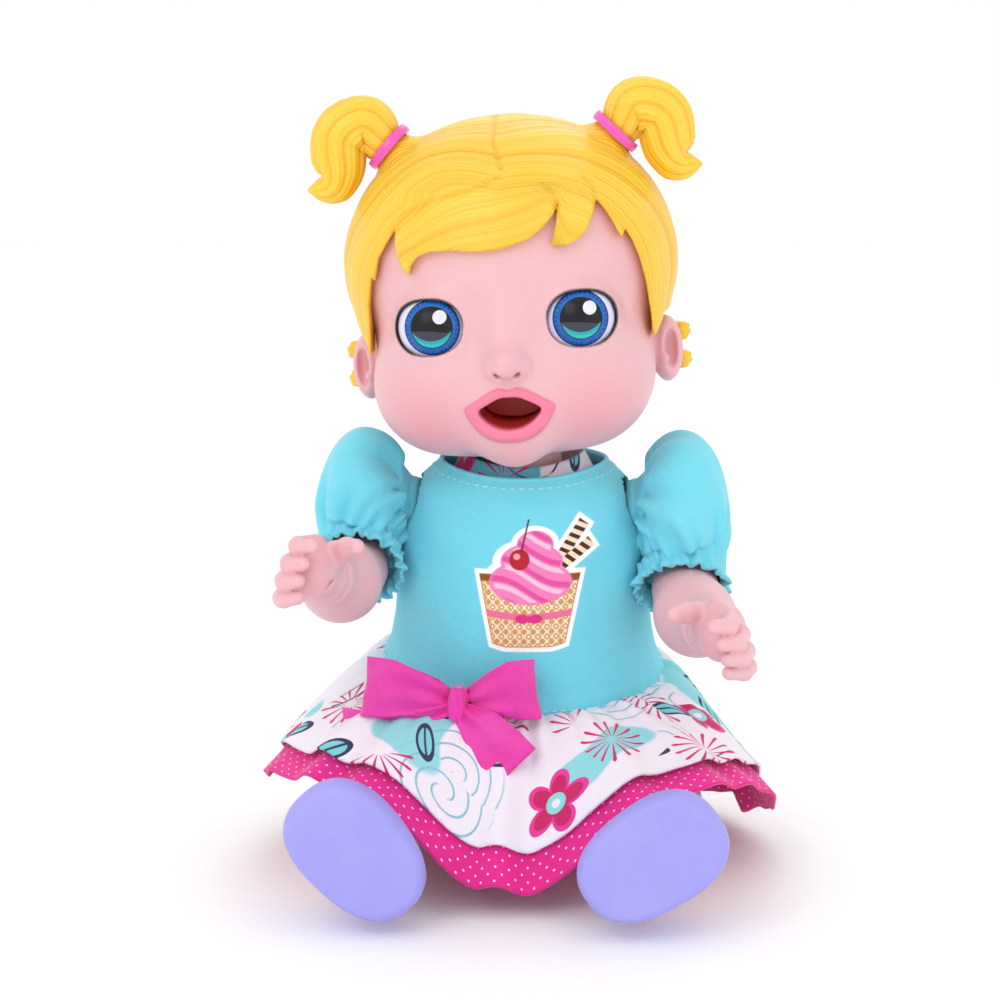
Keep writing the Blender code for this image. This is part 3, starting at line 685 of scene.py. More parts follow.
# ------------------------------------------------------------------ arms and legs
ARM_ROUTE = (((51, 1, 1), 8.0), ((53, -9, -10), 9.0), ((54, -22, -18), 10.2), ((55, -42, -20.5), 12.6),
             ((57, -59, -17.5), 9.0), ((58, -68, -15.5), 7.4))
FINGERS = ((0.6, 4.2), (1.0, 1.6), (0, 0), (-2.6, -0.6))  # how far each reaches and curls in, in mm
THUMB = (((55, -63, -12.5), 4.6), ((50.5, -69, -9.5), 3.9), ((46.8, -73.5, -7.4), 3.2),
         ((43.4, -77, -6.8), 2.5))
HAND_OUTWARD = {"left": 7.0, "right": 3.0}
LEG_ROUTE = (((11, 20), 8.0), ((-2, 20), 14.0), ((-28, 19), 14.0), ((-55, 19.5), 12.0), ((-78, 24), 9.0),
             ((-88, 25.5), 8.4))
LEG_X = 45.5
HUB_RADIUS = 6.8


def chain(p, route, soft):
    """Bars joined end to end along (point, radius) pairs."""
    pairs = zip(route, route[1:])
    return merge_all([limb(p, start, end, r0, r1) for (start, r0), (end, r1) in pairs], soft)


def hub(p, x0, x1):
    around = np.sqrt(p[1] ** 2 + p[2] ** 2) - HUB_RADIUS
    return np.maximum(around, np.maximum(x0 - p[0], p[0] - x1))


def arm_shape(p, outward):
    """An arm, its hand moved outward by some mm from the elbow on."""
    x, y, z = p
    p = (x - outward * ramp(y, -22, -75), y, z)
    f = chain(p, ARM_ROUTE, 3.0)
    f = f + 0.9 * np.exp(-(((y + 61.5) / 1.1) ** 2))
    f = merge(f, ellipsoid(p, (58, -70, -14.5), (7.2, 10.0, 9.6)), 3.0)
    fingers = []
    for i, (reach, inward) in enumerate(FINGERS):
        z0 = -6.6 - 4.5 * i
        low = z0 - 0.8 * i
        route = (((61 - inward, -72, z0), 3.3), ((65 - inward, -79.5, low), 3.0),
                 ((64 - inward, -86 - reach, low), 2.7), ((59.4 - inward, -89 - reach, low + 0.8), 2.2))
        fingers.append(chain(p, route, 0.8))
    f = merge(f, merge_all(fingers, 0.5), 1.6)
    f = merge(f, chain(p, THUMB, 1.2), 2.2)
    f = carve(f, limb(p, (51.5, -68, -13), (53, -73, -19), 0.8), 2.0)
    return merge(f, hub(p, 27, 50), 1.0)


def leg_shape(p):
    x, y, z = p
    f = chain(p, [((LEG_X, a, b), r) for (a, b), r in LEG_ROUTE], 5.0)
    f = f + 0.8 * np.exp(-(((y + 48) / 1.6) ** 2)) * ramp(z, 12, 22)
    centred = (x, y, z - 20.0)
    return merge(f, hub(centred, 30.5, LEG_X), 1.0)


SHOE_LEAN = {1: 55, -1: -43}
SHOE_SCALE = (0.885, 0.85)


def egg(half_long, half_wide, y, side, count=72):
    """An egg outline facing -Y, leaning out at the toe."""
    lean = math.radians(SHOE_LEAN[side])
    a = np.linspace(0, 2 * math.pi, count, endpoint=False)
    square = (np.abs(np.cos(a)) ** 2.5 + np.abs(np.sin(a)) ** 2.5) ** (-1 / 2.5)
    along = SHOE_SCALE[0] * half_long * square * np.cos(a)
    across = SHOE_SCALE[1] * half_wide * square * np.sin(a) * (1 + 0.07 * np.cos(a))
    x = side * 44.5 + along * math.sin(lean) + across * math.cos(lean)
    z = 25.5 + along * math.cos(lean) - across * math.sin(lean)
    return np.column_stack([x, np.full(count, float(y)), z])


SHOE_SECTIONS = ((0.2, 0.15, -105), (12, 8, -105), (22, 15, -105), (23.6, 16.6, -105.0), (24.6, 17.4, -104.6),
                 (25.9, 18.6, -103.4), (26.7, 19.3, -101.6), (26.9, 19.4, -99), (26.2, 18.8, -96),
                 (24.6, 18.0, -93), (22, 17, -89.5), (19.4, 16.0, -87), (17, 15, -85), (15.4, 14.4, -82.6),
                 (14.6, 14.0, -81.2), (13.6, 13.0, -80.8), (12.8, 12.2, -81.6), (12.4, 11.8, -86),
                 (12, 11.5, -96), (0.2, 0.2, -96))


def shoe(name, side, material):
    mesh = tube_mesh(f"shoe_{name}", [egg(a, b, y, side) for a, b, y in SHOE_SECTIONS])
    add_piece(f"shoe_{name}_moulded", mesh, f"leg_{name}", material, [f"shoe_{name}"])


def arm_place(name):
    """From the shoulder's own coordinates to the doll's, with the arm's pitch at rest."""
    pitch = Matrix.Rotation(math.radians(ARM_PITCH[name]), 4, "X")
    return Matrix.Translation((0, 0, SHOULDER_Z * MM)) @ pitch


def limbs(skin):
    shoe_vinyl = shoe_material()
    for name, side in SIDES.items():

        def arm(p):
            return arm_shape((side * p[0], p[1], p[2]), HAND_OUTWARD[name])

        def leg(p):
            return leg_shape((side * p[0], p[1], p[2]))

        x0, x1 = (24, 80) if side > 0 else (-76, -24)
        mesh = solid(f"arm_{name}", (x0, -95, -42), (x1, 12, 12), 0.55, arm)
        paint_limb(mesh, (58, -84, -14), 16)
        add_piece(f"arm_{name}_vinyl", mesh, f"arm_{name}", skin, [f"arm_{name}"],
                  arm_place(name))
        x0, x1 = (28, 62) if side > 0 else (-62, -28)
        mesh = solid(f"leg_{name}", (x0, -108, 0), (x1, 24, 40), 0.8, leg)
        paint_limb(mesh, (LEG_X, -48, 30), 14)
        add_piece(f"leg_{name}_vinyl", mesh, f"leg_{name}", skin, [f"leg_{name}"])
        shoe(name, side, shoe_vinyl)


def paint_limb(mesh, rosy, width):
    x, y, z = points_of(mesh).T
    glow = ramp(ball((np.abs(x), y, z), rosy, 0), width, width * 0.3)
    paint(mesh, "blush", 0.45 * glow)


def shoe_material():
    s = Shader("shoe_vinyl", "#9E9CEB", 0.5, Subsurface_Weight=0.05)
    where = s.where()
    cloud = s.noise(where, 0.05, 3.0)
    s.over(cloud.step(0.4, 0.7) * 0.35, "#ABA9F0")
    s.rough(0.42 + cloud * 0.15)
    s.bump(s.noise(where, 1.4, 4.0, 0.6), 0.07)
    return s.done()


# ------------------------------------------------------------------ cloth
def cloth_uv(mesh, rows, closed):
    """UV coordinates in metres on the flat pattern of a grid of points."""
    levels, count = rows.shape[:2]
    ring = np.concatenate([rows, rows[:, :1]], axis=1) if closed else rows
    across = np.linalg.norm(np.diff(ring, axis=1), axis=2).sum(axis=1).max()
    down = np.linalg.norm(np.diff(rows, axis=0), axis=2).mean(axis=1)
    v_at = np.concatenate([[0], np.cumsum(down)]) * MM
    layer = mesh.uv_layers.new(name="cloth")
    spans = count if closed else count - 1
    uv = []
    for i in range(levels - 1):
        for j in range(spans):
            u0, u1 = (across * MM * k / spans for k in (j, j + 1))
            uv += [(u0, v_at[i]), (u1, v_at[i]), (u1, v_at[i + 1]), (u0, v_at[i + 1])]
    layer.data.foreach_set("uv", np.array(uv, np.float32).ravel())
    return across, v_at[-1] / MM


def cloth(name, rows, thickness, closed=True, drop=None):
    """A sheet with thickness from a grid of points, level by level; drop says which faces are cut out.
    Returns the mesh and the flat size, in mm, of its pattern."""
    rows = np.asarray(rows, float)
    base = new_mesh(f"{name}_sheet", rows.reshape(-1, 3), grid_faces(*rows.shape[:2], closed))
    size = cloth_uv(base, rows, closed)
    if drop is not None:
        cut_faces(base, drop)
    holder = bpy.data.objects.new(name, base)
    bpy.context.scene.collection.objects.link(holder)
    thick = holder.modifiers.new("thickness", "SOLIDIFY")
    thick.thickness = thickness * MM
    thick.offset = 0
    thick.use_even_offset = False
    graph = bpy.context.evaluated_depsgraph_get()
    mesh = bpy.data.meshes.new_from_object(holder.evaluated_get(graph))
    mesh.name = name
    bpy.data.objects.remove(holder)
    bpy.data.meshes.remove(base)
    mesh.shade_smooth()
    return mesh, size


def cut_faces(mesh, drop):
    """Takes out the faces whose centre, in mm, drop says yes to."""
    work = bmesh.new()
    work.from_mesh(mesh)
    gone = [f for f in work.faces if drop(f.calc_center_median() / MM)]
    bmesh.ops.delete(work, geom=gone, context="FACES")
    work.to_mesh(mesh)
    work.free()


def no_weave(mesh):
    """Cloth coordinates of 0, for a small rolled piece that shows no weave."""
    layer = mesh.uv_layers.new(name="cloth")
    layer.data.foreach_set("uv", np.zeros(len(mesh.loops) * 2, np.float32))


def folds(angle, seed, counts, weights):
    """Uneven folds round a hem, about -1 to 1."""
    total = 0
    for i, (n, weight) in enumerate(zip(counts, weights)):
        drift = 0.9 * np.sin(angle * (2 + i) + seed * 1.7 + i)
        total = total + weight * np.sin(n * angle + seed * (i + 1.3) + drift)
    return total / sum(weights)


BODICE = ((0.0, 46.0, 42.5), (0.22, 42.8, 41.2), (0.5, 41.2, 38.2), (0.72, 40.2, 33.5), (0.88, 35.5, 29.5),
          (1.0, 27.5, 25.5))
CLOSURE_REACH = 43.6


def seam_z(angle):
    """The waist seam's height; angle is 0 at the front and grows towards +X."""
    return 60.0 - 7.5 * np.cos(angle) - 2.5 * np.sin(angle)


def neck_z(angle):
    return 131.0 - 4.0 * np.maximum(np.cos(angle), 0) ** 2 - 0.8 * np.abs(np.sin(angle))


def bodice_point(angle, share):
    """A point of the bodice, share 0 at the waist seam and 1 at the neckline."""
    steps = [row[0] for row in BODICE]
    fine = rounded_path([row[1:] for row in BODICE], 8, closed=False)
    at = np.interp(share, steps, np.arange(len(BODICE)) * 8.0)
    half_x = np.interp(at, np.arange(len(fine)), fine[:, 0])
    half_y = np.interp(at, np.arange(len(fine)), fine[:, 1])
    over_strips = ramp(np.cos(angle), -0.6, -0.95) * ramp(share, 0.08, 0.27) * ramp(share, 0.93, 0.75)
    half_y = half_y + (CLOSURE_REACH - half_y) * over_strips
    side = np.abs(np.sin(angle))
    dents = 0.55 * folds(angle, 2.0, (5, 9, 14), (1, 0.7, 0.4)) * np.sin(math.pi * share)
    pulls = 0.8 * np.sin(share * 17 + 9 * np.cos(angle)) * side**3 * ramp(share, 0.3, 0.6)
    gather = 0.35 * folds(angle, 5.0, (43, 57), (1, 0.6)) * ramp(share, 0.16, 0.0)
    hem = 1.2 * ramp(share, 0.12, 0.0)
    grow = dents + pulls * ramp(share, 1.0, 0.8) + gather + hem
    z = seam_z(angle) + (neck_z(angle) - seam_z(angle)) * share
    return np.stack([(half_x + grow) * np.sin(angle), -(half_y + grow) * np.cos(angle), z], axis=-1)


def bodice(knit, thread):
    gap = 0.012
    angles = np.linspace(-math.pi + gap, math.pi - gap, 260)
    shares = np.concatenate([np.linspace(0, 0.96, 70), np.linspace(0.972, 1, 4)])
    rows = [bodice_point(angles, s) for s in shares]

    def armhole(c):
        return abs(c.x) > 26 and math.hypot(c.y, c.z - SHOULDER_Z) < 12.5

    mesh, size = cloth("bodice", rows, 1.0, closed=False, drop=armhole)
    piece = add_piece("bodice_knit", mesh, "torso", knit, ["dress_bodice"])
    for label, share in (("hem", 0.035), ("neck", 0.968)):
        stitches(f"{label}_stitches", bodice_point(np.linspace(-3.1, 3.1, 800), share), thread)
    neck_binding(bodice_point(angles, 1.0), knit)


def neck_binding(line, knit):
    """The rolled edge of the neckline."""
    turns = np.linspace(0, 2 * math.pi, 10, endpoint=False)
    rings = []
    for point, way in zip(line, directions(line)):
        across = unit(np.cross(way, (0, 0, 1.0)))
        rings.append(ring_points(point, 0.85, turns, across, np.cross(across, way)))
    mesh = tube_mesh("neck_binding", rings)
    no_weave(mesh)
    add_piece("neck_binding", mesh, "torso", knit, ())


def stitches(name, line, thread):
    """A row of thread stitches lying along a line of points round the body."""
    length, gap, radius, out = 1.9, 1.1, 0.32, 0.4
    along = np.concatenate([[0], np.cumsum(np.linalg.norm(np.diff(line, axis=0), axis=1))])
    turns = np.linspace(0, 2 * math.pi, 6, endpoint=False)
    points, faces = [], []
    for start in np.arange(0.4, along[-1] - length, length + gap):
        stops = np.linspace(start, start + length, 5)
        spine = np.stack([np.interp(stops, along, line[:, k]) for k in range(3)], axis=-1)
        outward = unit(spine[2] * (1, 1, 0))
        across = unit(np.cross(unit(spine[-1] - spine[0]), outward))
        faces += [tuple(len(points) + i for i in face) for face in tube_faces(5, 6)]
        for k, centre in enumerate(spine):
            bulge = math.sin(math.pi * (k + 0.35) / 4.7)
            centre = centre + outward * (out + 0.35 * bulge)
            points += list(ring_points(centre, radius * (0.4 + 0.6 * bulge), turns, across, outward))
    add_piece(name, new_mesh(name, points, faces), "torso", thread, ())


def collar(floral):
    angles = np.linspace(-math.pi + 0.02, math.pi - 0.02, 160)
    rows = []
    for share in np.linspace(0, 1, 12):
        radius = 26.5 - 7.0 * share + 0.25 * folds(angles, 3.0, (11, 17), (1, 0.6)) * share
        z = neck_z(angles) - 9.5 + 12.6 * share
        rows.append(np.stack([(radius + 0.2) * np.sin(angles), -(radius - 1.3) * np.cos(angles), z], axis=-1))
    mesh, size = cloth("collar", rows, 0.8, closed=False)
    paint(mesh, "panel", ramp(points_of(mesh)[:, 0], 7.0, 6.0))
    piece = add_piece("collar_floral", mesh, "torso", floral, ["floral_collar"])


HEM_HEIGHT = ((0, 14, 25, 52, 66, 90, 120, 180), (4.6, 11, 36.6, 36.6, 29, 16, 6, 4))
HEM_REACH = ((0, 30, 45, 60, 75, 90, 130, 180), (82, 89, 94, 92, 88, 82, 66, 60))


def smooth_table(degrees, table, width=5):
    """A table of values by angle, its corners rounded off over about width degrees."""
    total = 0
    for shift in (-1.5, -1, -0.5, 0, 0.5, 1, 1.5):
        total = total + np.interp(np.abs(degrees + shift * width), *table)
    return total / 7


def skirt_rows(lift, last_share, levels, fold_depth):
    angles = np.linspace(-math.pi, math.pi, 520, endpoint=False)
    degrees = np.degrees(angles)
    hem = smooth_table(degrees, HEM_HEIGHT)
    reach = smooth_table(degrees, HEM_REACH)
    seam = seam_z(angles)
    waist = np.hypot(43.5 * np.sin(angles), 41.5 * np.cos(angles)) - 2.2
    hem = hem - 7.0 * ramp(degrees, 50, 80) * ramp(degrees, 120, 95) + 1.5 * ramp(degrees, -50, -80)
    big = folds(angles, 1.0, (17, 26, 37), (1, 0.8, 0.5))
    small = folds(angles, 4.0, (47, 67), (1, 0.8))
    rows = []
    for share in np.linspace(0.0, last_share, levels):
        radius = waist + (reach - waist) * share
        raised = lift * ramp(share, -0.02, 0.3) + 1.0 - 3.0 * ramp(share, 0.12, 0)
        z = seam - (seam - hem) * share**1.6 + raised
        fold = fold_depth * big * share**0.7 + 1.8 * small * ramp(share, 0.7, 0.02) * ramp(share, 0, 0.06)
        steep = ramp(np.abs(np.gradient(hem)), 0.15, 0.6)
        radius = radius + fold * 0.55
        z = z + fold * (1 - 0.45 * steep)
        rows.append(np.stack([radius * np.sin(angles), -radius * np.cos(angles), z], axis=-1))
    return rows


def skirts(floral, dotted):
    for name, node, slot, material, lift, last, depth in (
            ("ruffle", "ruffle_skirt", "print", floral, 4.2, 0.89, 2.3),
            ("petticoat", "petticoat", "petticoat_cotton", dotted, 0.0, 1.0, 2.3)):
        mesh, size = cloth(name, skirt_rows(lift, last, 60, depth), 0.9)
        piece = add_piece(f"{name}_cloth", mesh, "torso", material, [node])


# ------------------------------------------------------------------ sleeves
SLEEVE_CENTRE = np.array((53.0, -6.0, 1.5))
SLEEVE_HALF = np.array((14.8, 24.0, 26.5))
CUFF_WAY = np.array((0.04, -0.66, -0.75))
FRILL_WAY = np.array((0.04, -0.80, -0.60))
# Rings of the frill: mm along FRILL_WAY, size and depth of the waves as shares of the cuff's radius.
FRILL = ((1.4, 1.08, 0.5), (3.0, 1.03, 0.5), (4.4, 1.02, 0.5), (6.0, 1.06, 0.9), (7.8, 1.13, 1.4),
         (9.4, 1.16, 1.8))


def sphere_grid(pole_a, pole_b, sizes, count):
    """Directions on circles that open round pole_a and close round pole_b."""
    pole_b = unit(pole_b)
    e1 = unit(pole_a - pole_b * np.dot(pole_a, pole_b))
    e2 = np.cross(pole_b, e1)
    start = np.dot(pole_a, e1) / (1 - np.dot(pole_a, pole_b))
    turns = np.linspace(0, 2 * math.pi, count, endpoint=False)
    rows = []
    for size in sizes:
        u = start + size * np.cos(turns)
        v = size * np.sin(turns)
        k = 1 + u * u + v * v
        rows.append(np.stack([2 * u / k, 2 * v / k, (k - 2) / k], axis=-1) @ np.array([e1, e2, pole_b]))
    return np.array(rows), turns


def sleeve(name, side, knit):
    sizes = np.exp(np.linspace(math.log(0.62), math.log(3.1), 60))
    ways, turns = sphere_grid(np.array((-1.0, 0, 0)), CUFF_WAY, sizes, 220)
    around = unit(ways[0][:, 1:])
    rows = [np.column_stack([np.full(len(turns), x), radius * around])
            for x, radius in ((34.5, 10.5), (36.5, 11.2), (38.2, 11.6))]
    for share, way in zip(np.linspace(0, 1, len(sizes)), ways):
        reach = 1 / np.sqrt(((way / SLEEVE_HALF) ** 2).sum(axis=1))
        at_seam = ramp(share, 0.75, 0.12) * ramp(share, 0.0, 0.1)
        seam_folds = 3.2 * folds(turns, 1.0 + side, (7, 12, 19), (1, 0.9, 0.6)) * at_seam
        cuff_folds = 2.0 * folds(turns, 3.0 + side, (11, 17, 25), (1, 0.9, 0.6)) * ramp(share, 0.5, 0.9)
        soft = 2.2 * folds(turns, 6.0 + side, (2, 5, 7), (0.6, 1, 0.8)) * math.sin(math.pi * share)
        soft = soft * np.cos(share * 7 + turns * 2)
        rows.append(SLEEVE_CENTRE + way * (reach + seam_folds + cuff_folds + soft)[:, None])
    axis = unit(FRILL_WAY)
    middle = rows[-1].mean(axis=0)
    ring = rows[-1] - middle
    ring = 13.0 * unit(ring - np.outer(ring @ axis, axis))
    frill = folds(turns, 8.0 + side, (16, 23, 31), (1, 0.8, 0.6))
    for out, grow, wave_size in FRILL:
        rows.append(middle + ring * (grow + wave_size * 0.085 * frill)[:, None] + axis * out)
    mesh, size = cloth(f"sleeve_{name}", np.array(rows) * (side, 1, 1), 0.9)
    piece = add_piece(f"sleeve_{name}_knit", mesh, f"arm_{name}", knit, [f"sleeve_{name}"],
                      arm_place(name))


# ------------------------------------------------------------------ bow
BOW = np.array((-18.0, -50.5, 59.5))


def ribbon(spine, widths, pleat, tilt):
    """A band of ribbon along a spine, width by width, with pleats that fade away from the knot."""
    spine = rounded_path(spine, 10, closed=False)
    width, crush = (np.interp(np.linspace(0, 1, len(spine)), np.linspace(0, 1, len(values)), values)
                    for values in (widths, pleat))
    across = np.linspace(-1, 1, 28)
    rows = []
    for point, way, half, depth in zip(spine, directions(spine), width, crush):
        up = np.array((math.sin(tilt), 0, math.cos(tilt)))
        up = unit(up - way * np.dot(up, way))
        wave_out = depth * np.sin(across * 6.5)
        rows.append(point + np.outer(across * half, up) + np.outer(wave_out, np.cross(way, up)))
    return rows


def bow(satin):
    bands = []
    for name, way, end_x in (("right", -1, -29.0), ("left", 1, 25.0)):
        loop = ((way * 2, 0.5, 0), (way * 8, -3.0, 2), (end_x * 0.72, -5.5, 5.25), (end_x, -2.0, 5.04),
                (end_x * 0.8, 2.0, 4.2), (way * 9, 2.4, 2.0), (way * 2, 1.5, 0))
        bands.append((f"bow_loop_{name}", loop, (2.8, 5.8, 9.6, 9.6, 8.8, 5.4, 2.8),
                      (0.9, 0.7, 0.25, 0.1, 0.3, 0.6, 0.9), way * -0.18))
    tail_pleat = (0.8, 0.5, 0.25, 0.15)
    bands.append(("bow_tail_right", ((-1, -1.5, -2), (-14, -3.5, -6.5), (-27, -1.0, -8.5), (-37, 3.5, -8.5)),
                  (2.6, 5.0, 5.6, 5.2), tail_pleat, -0.3))
    bands.append(("bow_tail_left", ((1, -2.5, -2), (8, -7.0, -7.5), (14, -11.0, -13.0), (19.0, -15, -17.5)),
                  (2.8, 7.5, 9.0, 9.5), tail_pleat, 0.95))
    for name, spine, widths, pleat, tilt in bands:
        mesh, size = cloth(name, ribbon(BOW + np.array(spine), widths, pleat, tilt), 0.5, closed=False)
        piece = add_piece(name, mesh, "torso", satin, ())
    bow_knot(satin)


def bow_knot(satin):
    turns = np.linspace(0, 2 * math.pi, 60, endpoint=False)
    rings = []
    for share in np.linspace(-1, 1, 22):
        pinch = 1 - 0.35 * share**2
        ridge = 0.35 * np.sin(5 * turns + 2 * share)
        x = ((3.2 + ridge) * np.cos(turns) + 0.5 * share) * pinch
        y = (3.4 + ridge) * np.sin(turns) - 1.6
        rings.append(BOW + np.stack([x, y, np.full_like(turns, 5.2 * share)], axis=-1))
    mesh = tube_mesh("bow_knot", rings)
    no_weave(mesh)
    add_piece("bow_knot", mesh, "torso", satin, ["waist_bow"])


# ------------------------------------------------------------------ cloth materials
def weave(s, u, v, pitch, depth):
    threads = (u * (2 * math.pi / pitch)).sin() * (v * (2 * math.pi / pitch)).sin()
    s.bump(threads * 0.5 + 0.5, depth)


def knit_material(name):
    s = Shader(name, "#70D6E9", 0.85, Sheen_Weight=0.25, Sheen_Roughness=0.5)
    u, v = s.uv()
    where = s.where()
    soft = s.noise(where, 0.045, 3.0)
    s.over(soft.step(0.4, 0.7) * 0.35, "#84DEEC")
    fuzz = s.noise(where, 2.2, 3.0, 0.7)
    s.over(fuzz.step(0.5, 0.75) * 0.18, "#B5F1F5")
    twill = ((u * 7.2 + v * 5.0).sin() * 0.5 + 0.5) * ((v * 9.0).sin() * 0.25 + 0.75)
    s.over(twill.step(0.35, 0.0) * 0.14, "#4FBFD2")
    s.bump(twill, 0.07)
    s.bump(s.noise(where, 0.16, 3.0), 0.5, 0.5)
    return s


def petticoat_material():
    s = Shader("petticoat_cotton", "#F01C92", 0.8, Sheen_Weight=0.2)
    u, v = s.uv()
    where = s.where()
    s.over(s.noise(where, 0.05, 3.0).step(0.4, 0.7) * 0.3, "#DC1684")
    pitch = 4.4
    row = (v / (pitch * 0.5)).floor()
    shift = (row * 0.5).fract() * pitch
    du = ((u + shift) / pitch).fract() - 0.5
    dv = (v / (pitch * 0.5)).fract() - 0.5
    dot = ((du * pitch) * (du * pitch) + (dv * pitch * 0.5) * (dv * pitch * 0.5)).sqrt()
    s.over(dot.step(0.42, 0.28), "#FBD9EA")
    weave(s, u, v, 0.55, 0.08)
    return s.done()


def satin_material():
    s = Shader("ribbon_satin", "#EA2AA8", 0.38, Sheen_Weight=0.3, Anisotropic=0.5)
    u, v = s.uv()
    where = s.where()
    ribs = (v * 8.5).sin() * 0.5 + 0.5
    s.over(ribs.step(0.5, 0.0) * 0.3, "#C9188C")
    s.over(s.noise(where, 0.07, 2.0).step(0.45, 0.7) * 0.3, "#F657C0")
    s.rough(0.34 + ribs * 0.12)
    s.bump(ribs, 0.1)
    return s.done()


def floral_material():
    """A made-up print: dandelion heads, petal flowers, scrolls and turquoise panels on white."""
    white, turquoise, navy, magenta = "#F5EDF6", "#93DCE2", "#2B3354", "#D4186E"
    s = Shader("floral_print", white, 0.82, Sheen_Weight=0.15)
    u, v = (side * 0.68 for side in s.uv())
    drift = s.noise(s.vector(u, v), 0.035, 2.0)
    panel = s.noise(s.vector(u + 40.0, v * 1.2), 0.028, 1.0)
    s.over(panel.step(0.585, 0.60), turquoise)
    s.over(s.attribute("panel"), "#5CC4D6")

    _, _, far, turn, pick = s.cells(u, v, 0.036)
    spiral = (far * 0.9 + turn + pick * 6.0).sin().abs()
    scroll = spiral.step(0.30, 0.16) * far.step(13.0, 11.0) * far.step(1.0, 2.0)
    s.over(scroll * pick.step(0.55, 0.56), "#8FC4D6")
    s.over(scroll * pick.step(0.3, 0.29) * drift.step(0.40, 0.42), navy)

    _, _, far, turn, pick = s.cells(u + 17.0, v + 9.0, 0.040, 0.8)
    spokes = (turn * 7.0).sin().abs()
    heads = far.step(6.6, 6.2) * spokes.step(0.5, 0.3) * far.step(1.2, 1.6)
    tips = ((far - 7.0) * (far - 7.0) + (spokes * 2.6) * (spokes * 2.6)).sqrt().step(1.25, 1.0)
    s.over(heads.most(tips) * pick.step(0.5, 0.51), magenta)
    petals = ((turn * 2.5).cos().abs() * 3.6 + 4.2) - far
    flower = pick.step(0.36, 0.35)
    for shape, colour in ((petals.step(0.0, 0.3), "#E8359B"), ((petals - 1.4).step(0.0, 0.3), "#C9145F"),
                          (far.step(2.4, 2.2), "#8ED9DE"), (far.step(1.1, 0.9), "#F3EAF3")):
        s.over(shape * flower, colour)

    across, up, _, _, pick = s.cells(u + 71.0, v + 33.0, 0.052, 0.9)
    lean = pick * 6.3
    along, aside = across * lean.cos() + up * lean.sin(), up * lean.cos() - across * lean.sin()
    leaf = along * along / 22.0 + aside * aside / 4.0
    vein = aside.abs().step(0.35, 0.2) * leaf.step(1.2, 1.1)
    for shape, colour in ((leaf.step(1.5, 1.4), navy), (leaf.step(0.8, 0.7), "#7FD3DC"), (vein, navy)):
        s.over(shape * pick.step(0.42, 0.43), colour)
    weave(s, u, v, 0.4, 0.08)
    s.bump(s.noise(s.where(), 0.2, 3.0), 0.4, 0.5)
    return s.done()


# ------------------------------------------------------------------ the cupcake on the bodice
def cupcake(s):
    """A made-up cupcake printed on the chest: white cut line, paper lace cup, pink swirl, cherry, wafers."""
    x, y, z = s.place()
    front = y.step(-10.0, -12.0)
    u, v = (x - 4.0) * 1.1, (z - 91.0) * 1.04

    def disc(cx, cy, rx, ry):
        a, b = (u - cx) / rx, (v - cy) / ry
        return ((a * a + b * b).sqrt() - 1.0) * min(rx, ry)

    def slab(cx, cy, half_long, half_wide, lean):
        a = (u - cx) * math.cos(lean) + (v - cy) * math.sin(lean)
        b = (v - cy) * math.cos(lean) - (u - cx) * math.sin(lean)
        return (a.abs() - half_long).most(b.abs() - half_wide), a

    walls = (u.abs() - (v * 0.22 + 16.2)).most((v + 4.4).abs() - 12.0)
    cup = walls.most((v * -1.0) - 17.2 + u * u * 0.012)
    cream = disc(0.4, 5.0, 14.6, 7.4).least(disc(0.6, 11.6, 11.0, 6.0)).least(disc(1.8, 16.6, 6.6, 5.0))
    cream = cream.least(disc(4.6, 18.2, 3.2, 2.2))
    cherry = disc(-3.6, 12.2, 3.6, 3.4)
    wafers = [slab(14.5, 18.0, 7.5, 1.9, 0.95), slab(16.0, 13.8, 6.6, 1.8, 0.62)]
    everything = cup.least(cream).least(cherry).least(wafers[0][0]).least(wafers[1][0])
    edge = 0.22

    def lay(shape, colour, grow=0.0, extra=None):
        mask = (shape - grow).step(edge, -edge) * front
        s.over(mask if extra is None else mask * extra, colour)

    lay(everything, "#FFFFFF", 1.5)
    for shape, along in wafers:
        lay(shape, "#F3DFC0")
        lay(shape, "#4A1712", 0.0, (along * 1.5 + v * 0.9).sin().step(-0.1, 0.25))
    lay(cup, "#C8842F")
    lay(cup, "#8A4A12", 0.0, (v - 6.4).abs().step(1.6, 0.6))
    pleats = ((u / (v * 0.014 + 1.0)) * 1.55).sin()
    across, along = (u * 0.98).sin(), (v * 0.98).sin()
    rosette = (across * across + along * along).sqrt()
    holes = rosette.step(0.5, 0.42).most(rosette.step(0.8, 0.9) * rosette.step(1.2, 1.1))
    lace = v.step(5.3, 4.8)
    lay(cup, "#F7E6C6", -0.4, lace * (holes * 0.85 + 0.15))
    lay(cup, "#D9A763", -0.4, lace * pleats.step(0.75, 0.95) * 0.7)
    lay(cup, "#EE6E9C", -0.2, (v + 6.4 - u * u * 0.006).abs().step(1.25, 1.0))
    lay(disc(-2.4, -7.0, 2.4, 1.5).least(disc(2.4, -7.0, 2.4, 1.5)).least(disc(0, -7.2, 0.9, 1.2)), "#D92B7E")
    lay(cream, "#F27FBA")
    sweep = v * 0.62 + u * 0.20 + (u * 0.22).sin() * 0.8
    lay(cream, "#E0459A", -0.3, (sweep * 1.5).sin().step(0.35, 0.9) * 0.9)
    lay(cream, "#FBC9E0", -0.8, (sweep * 1.5 + 2.2).sin().step(0.5, 0.95) * 0.9)
    lay(cherry, "#B30F24")
    lay(disc(-4.6, 13.2, 1.2, 1.0), "#F2A1A6")
    stem = ((u + 3.0 - (v - 15.0) * 0.24).abs() - 0.32).most((v - 20.0).abs() - 5.2)
    lay(stem, "#5A1A16")


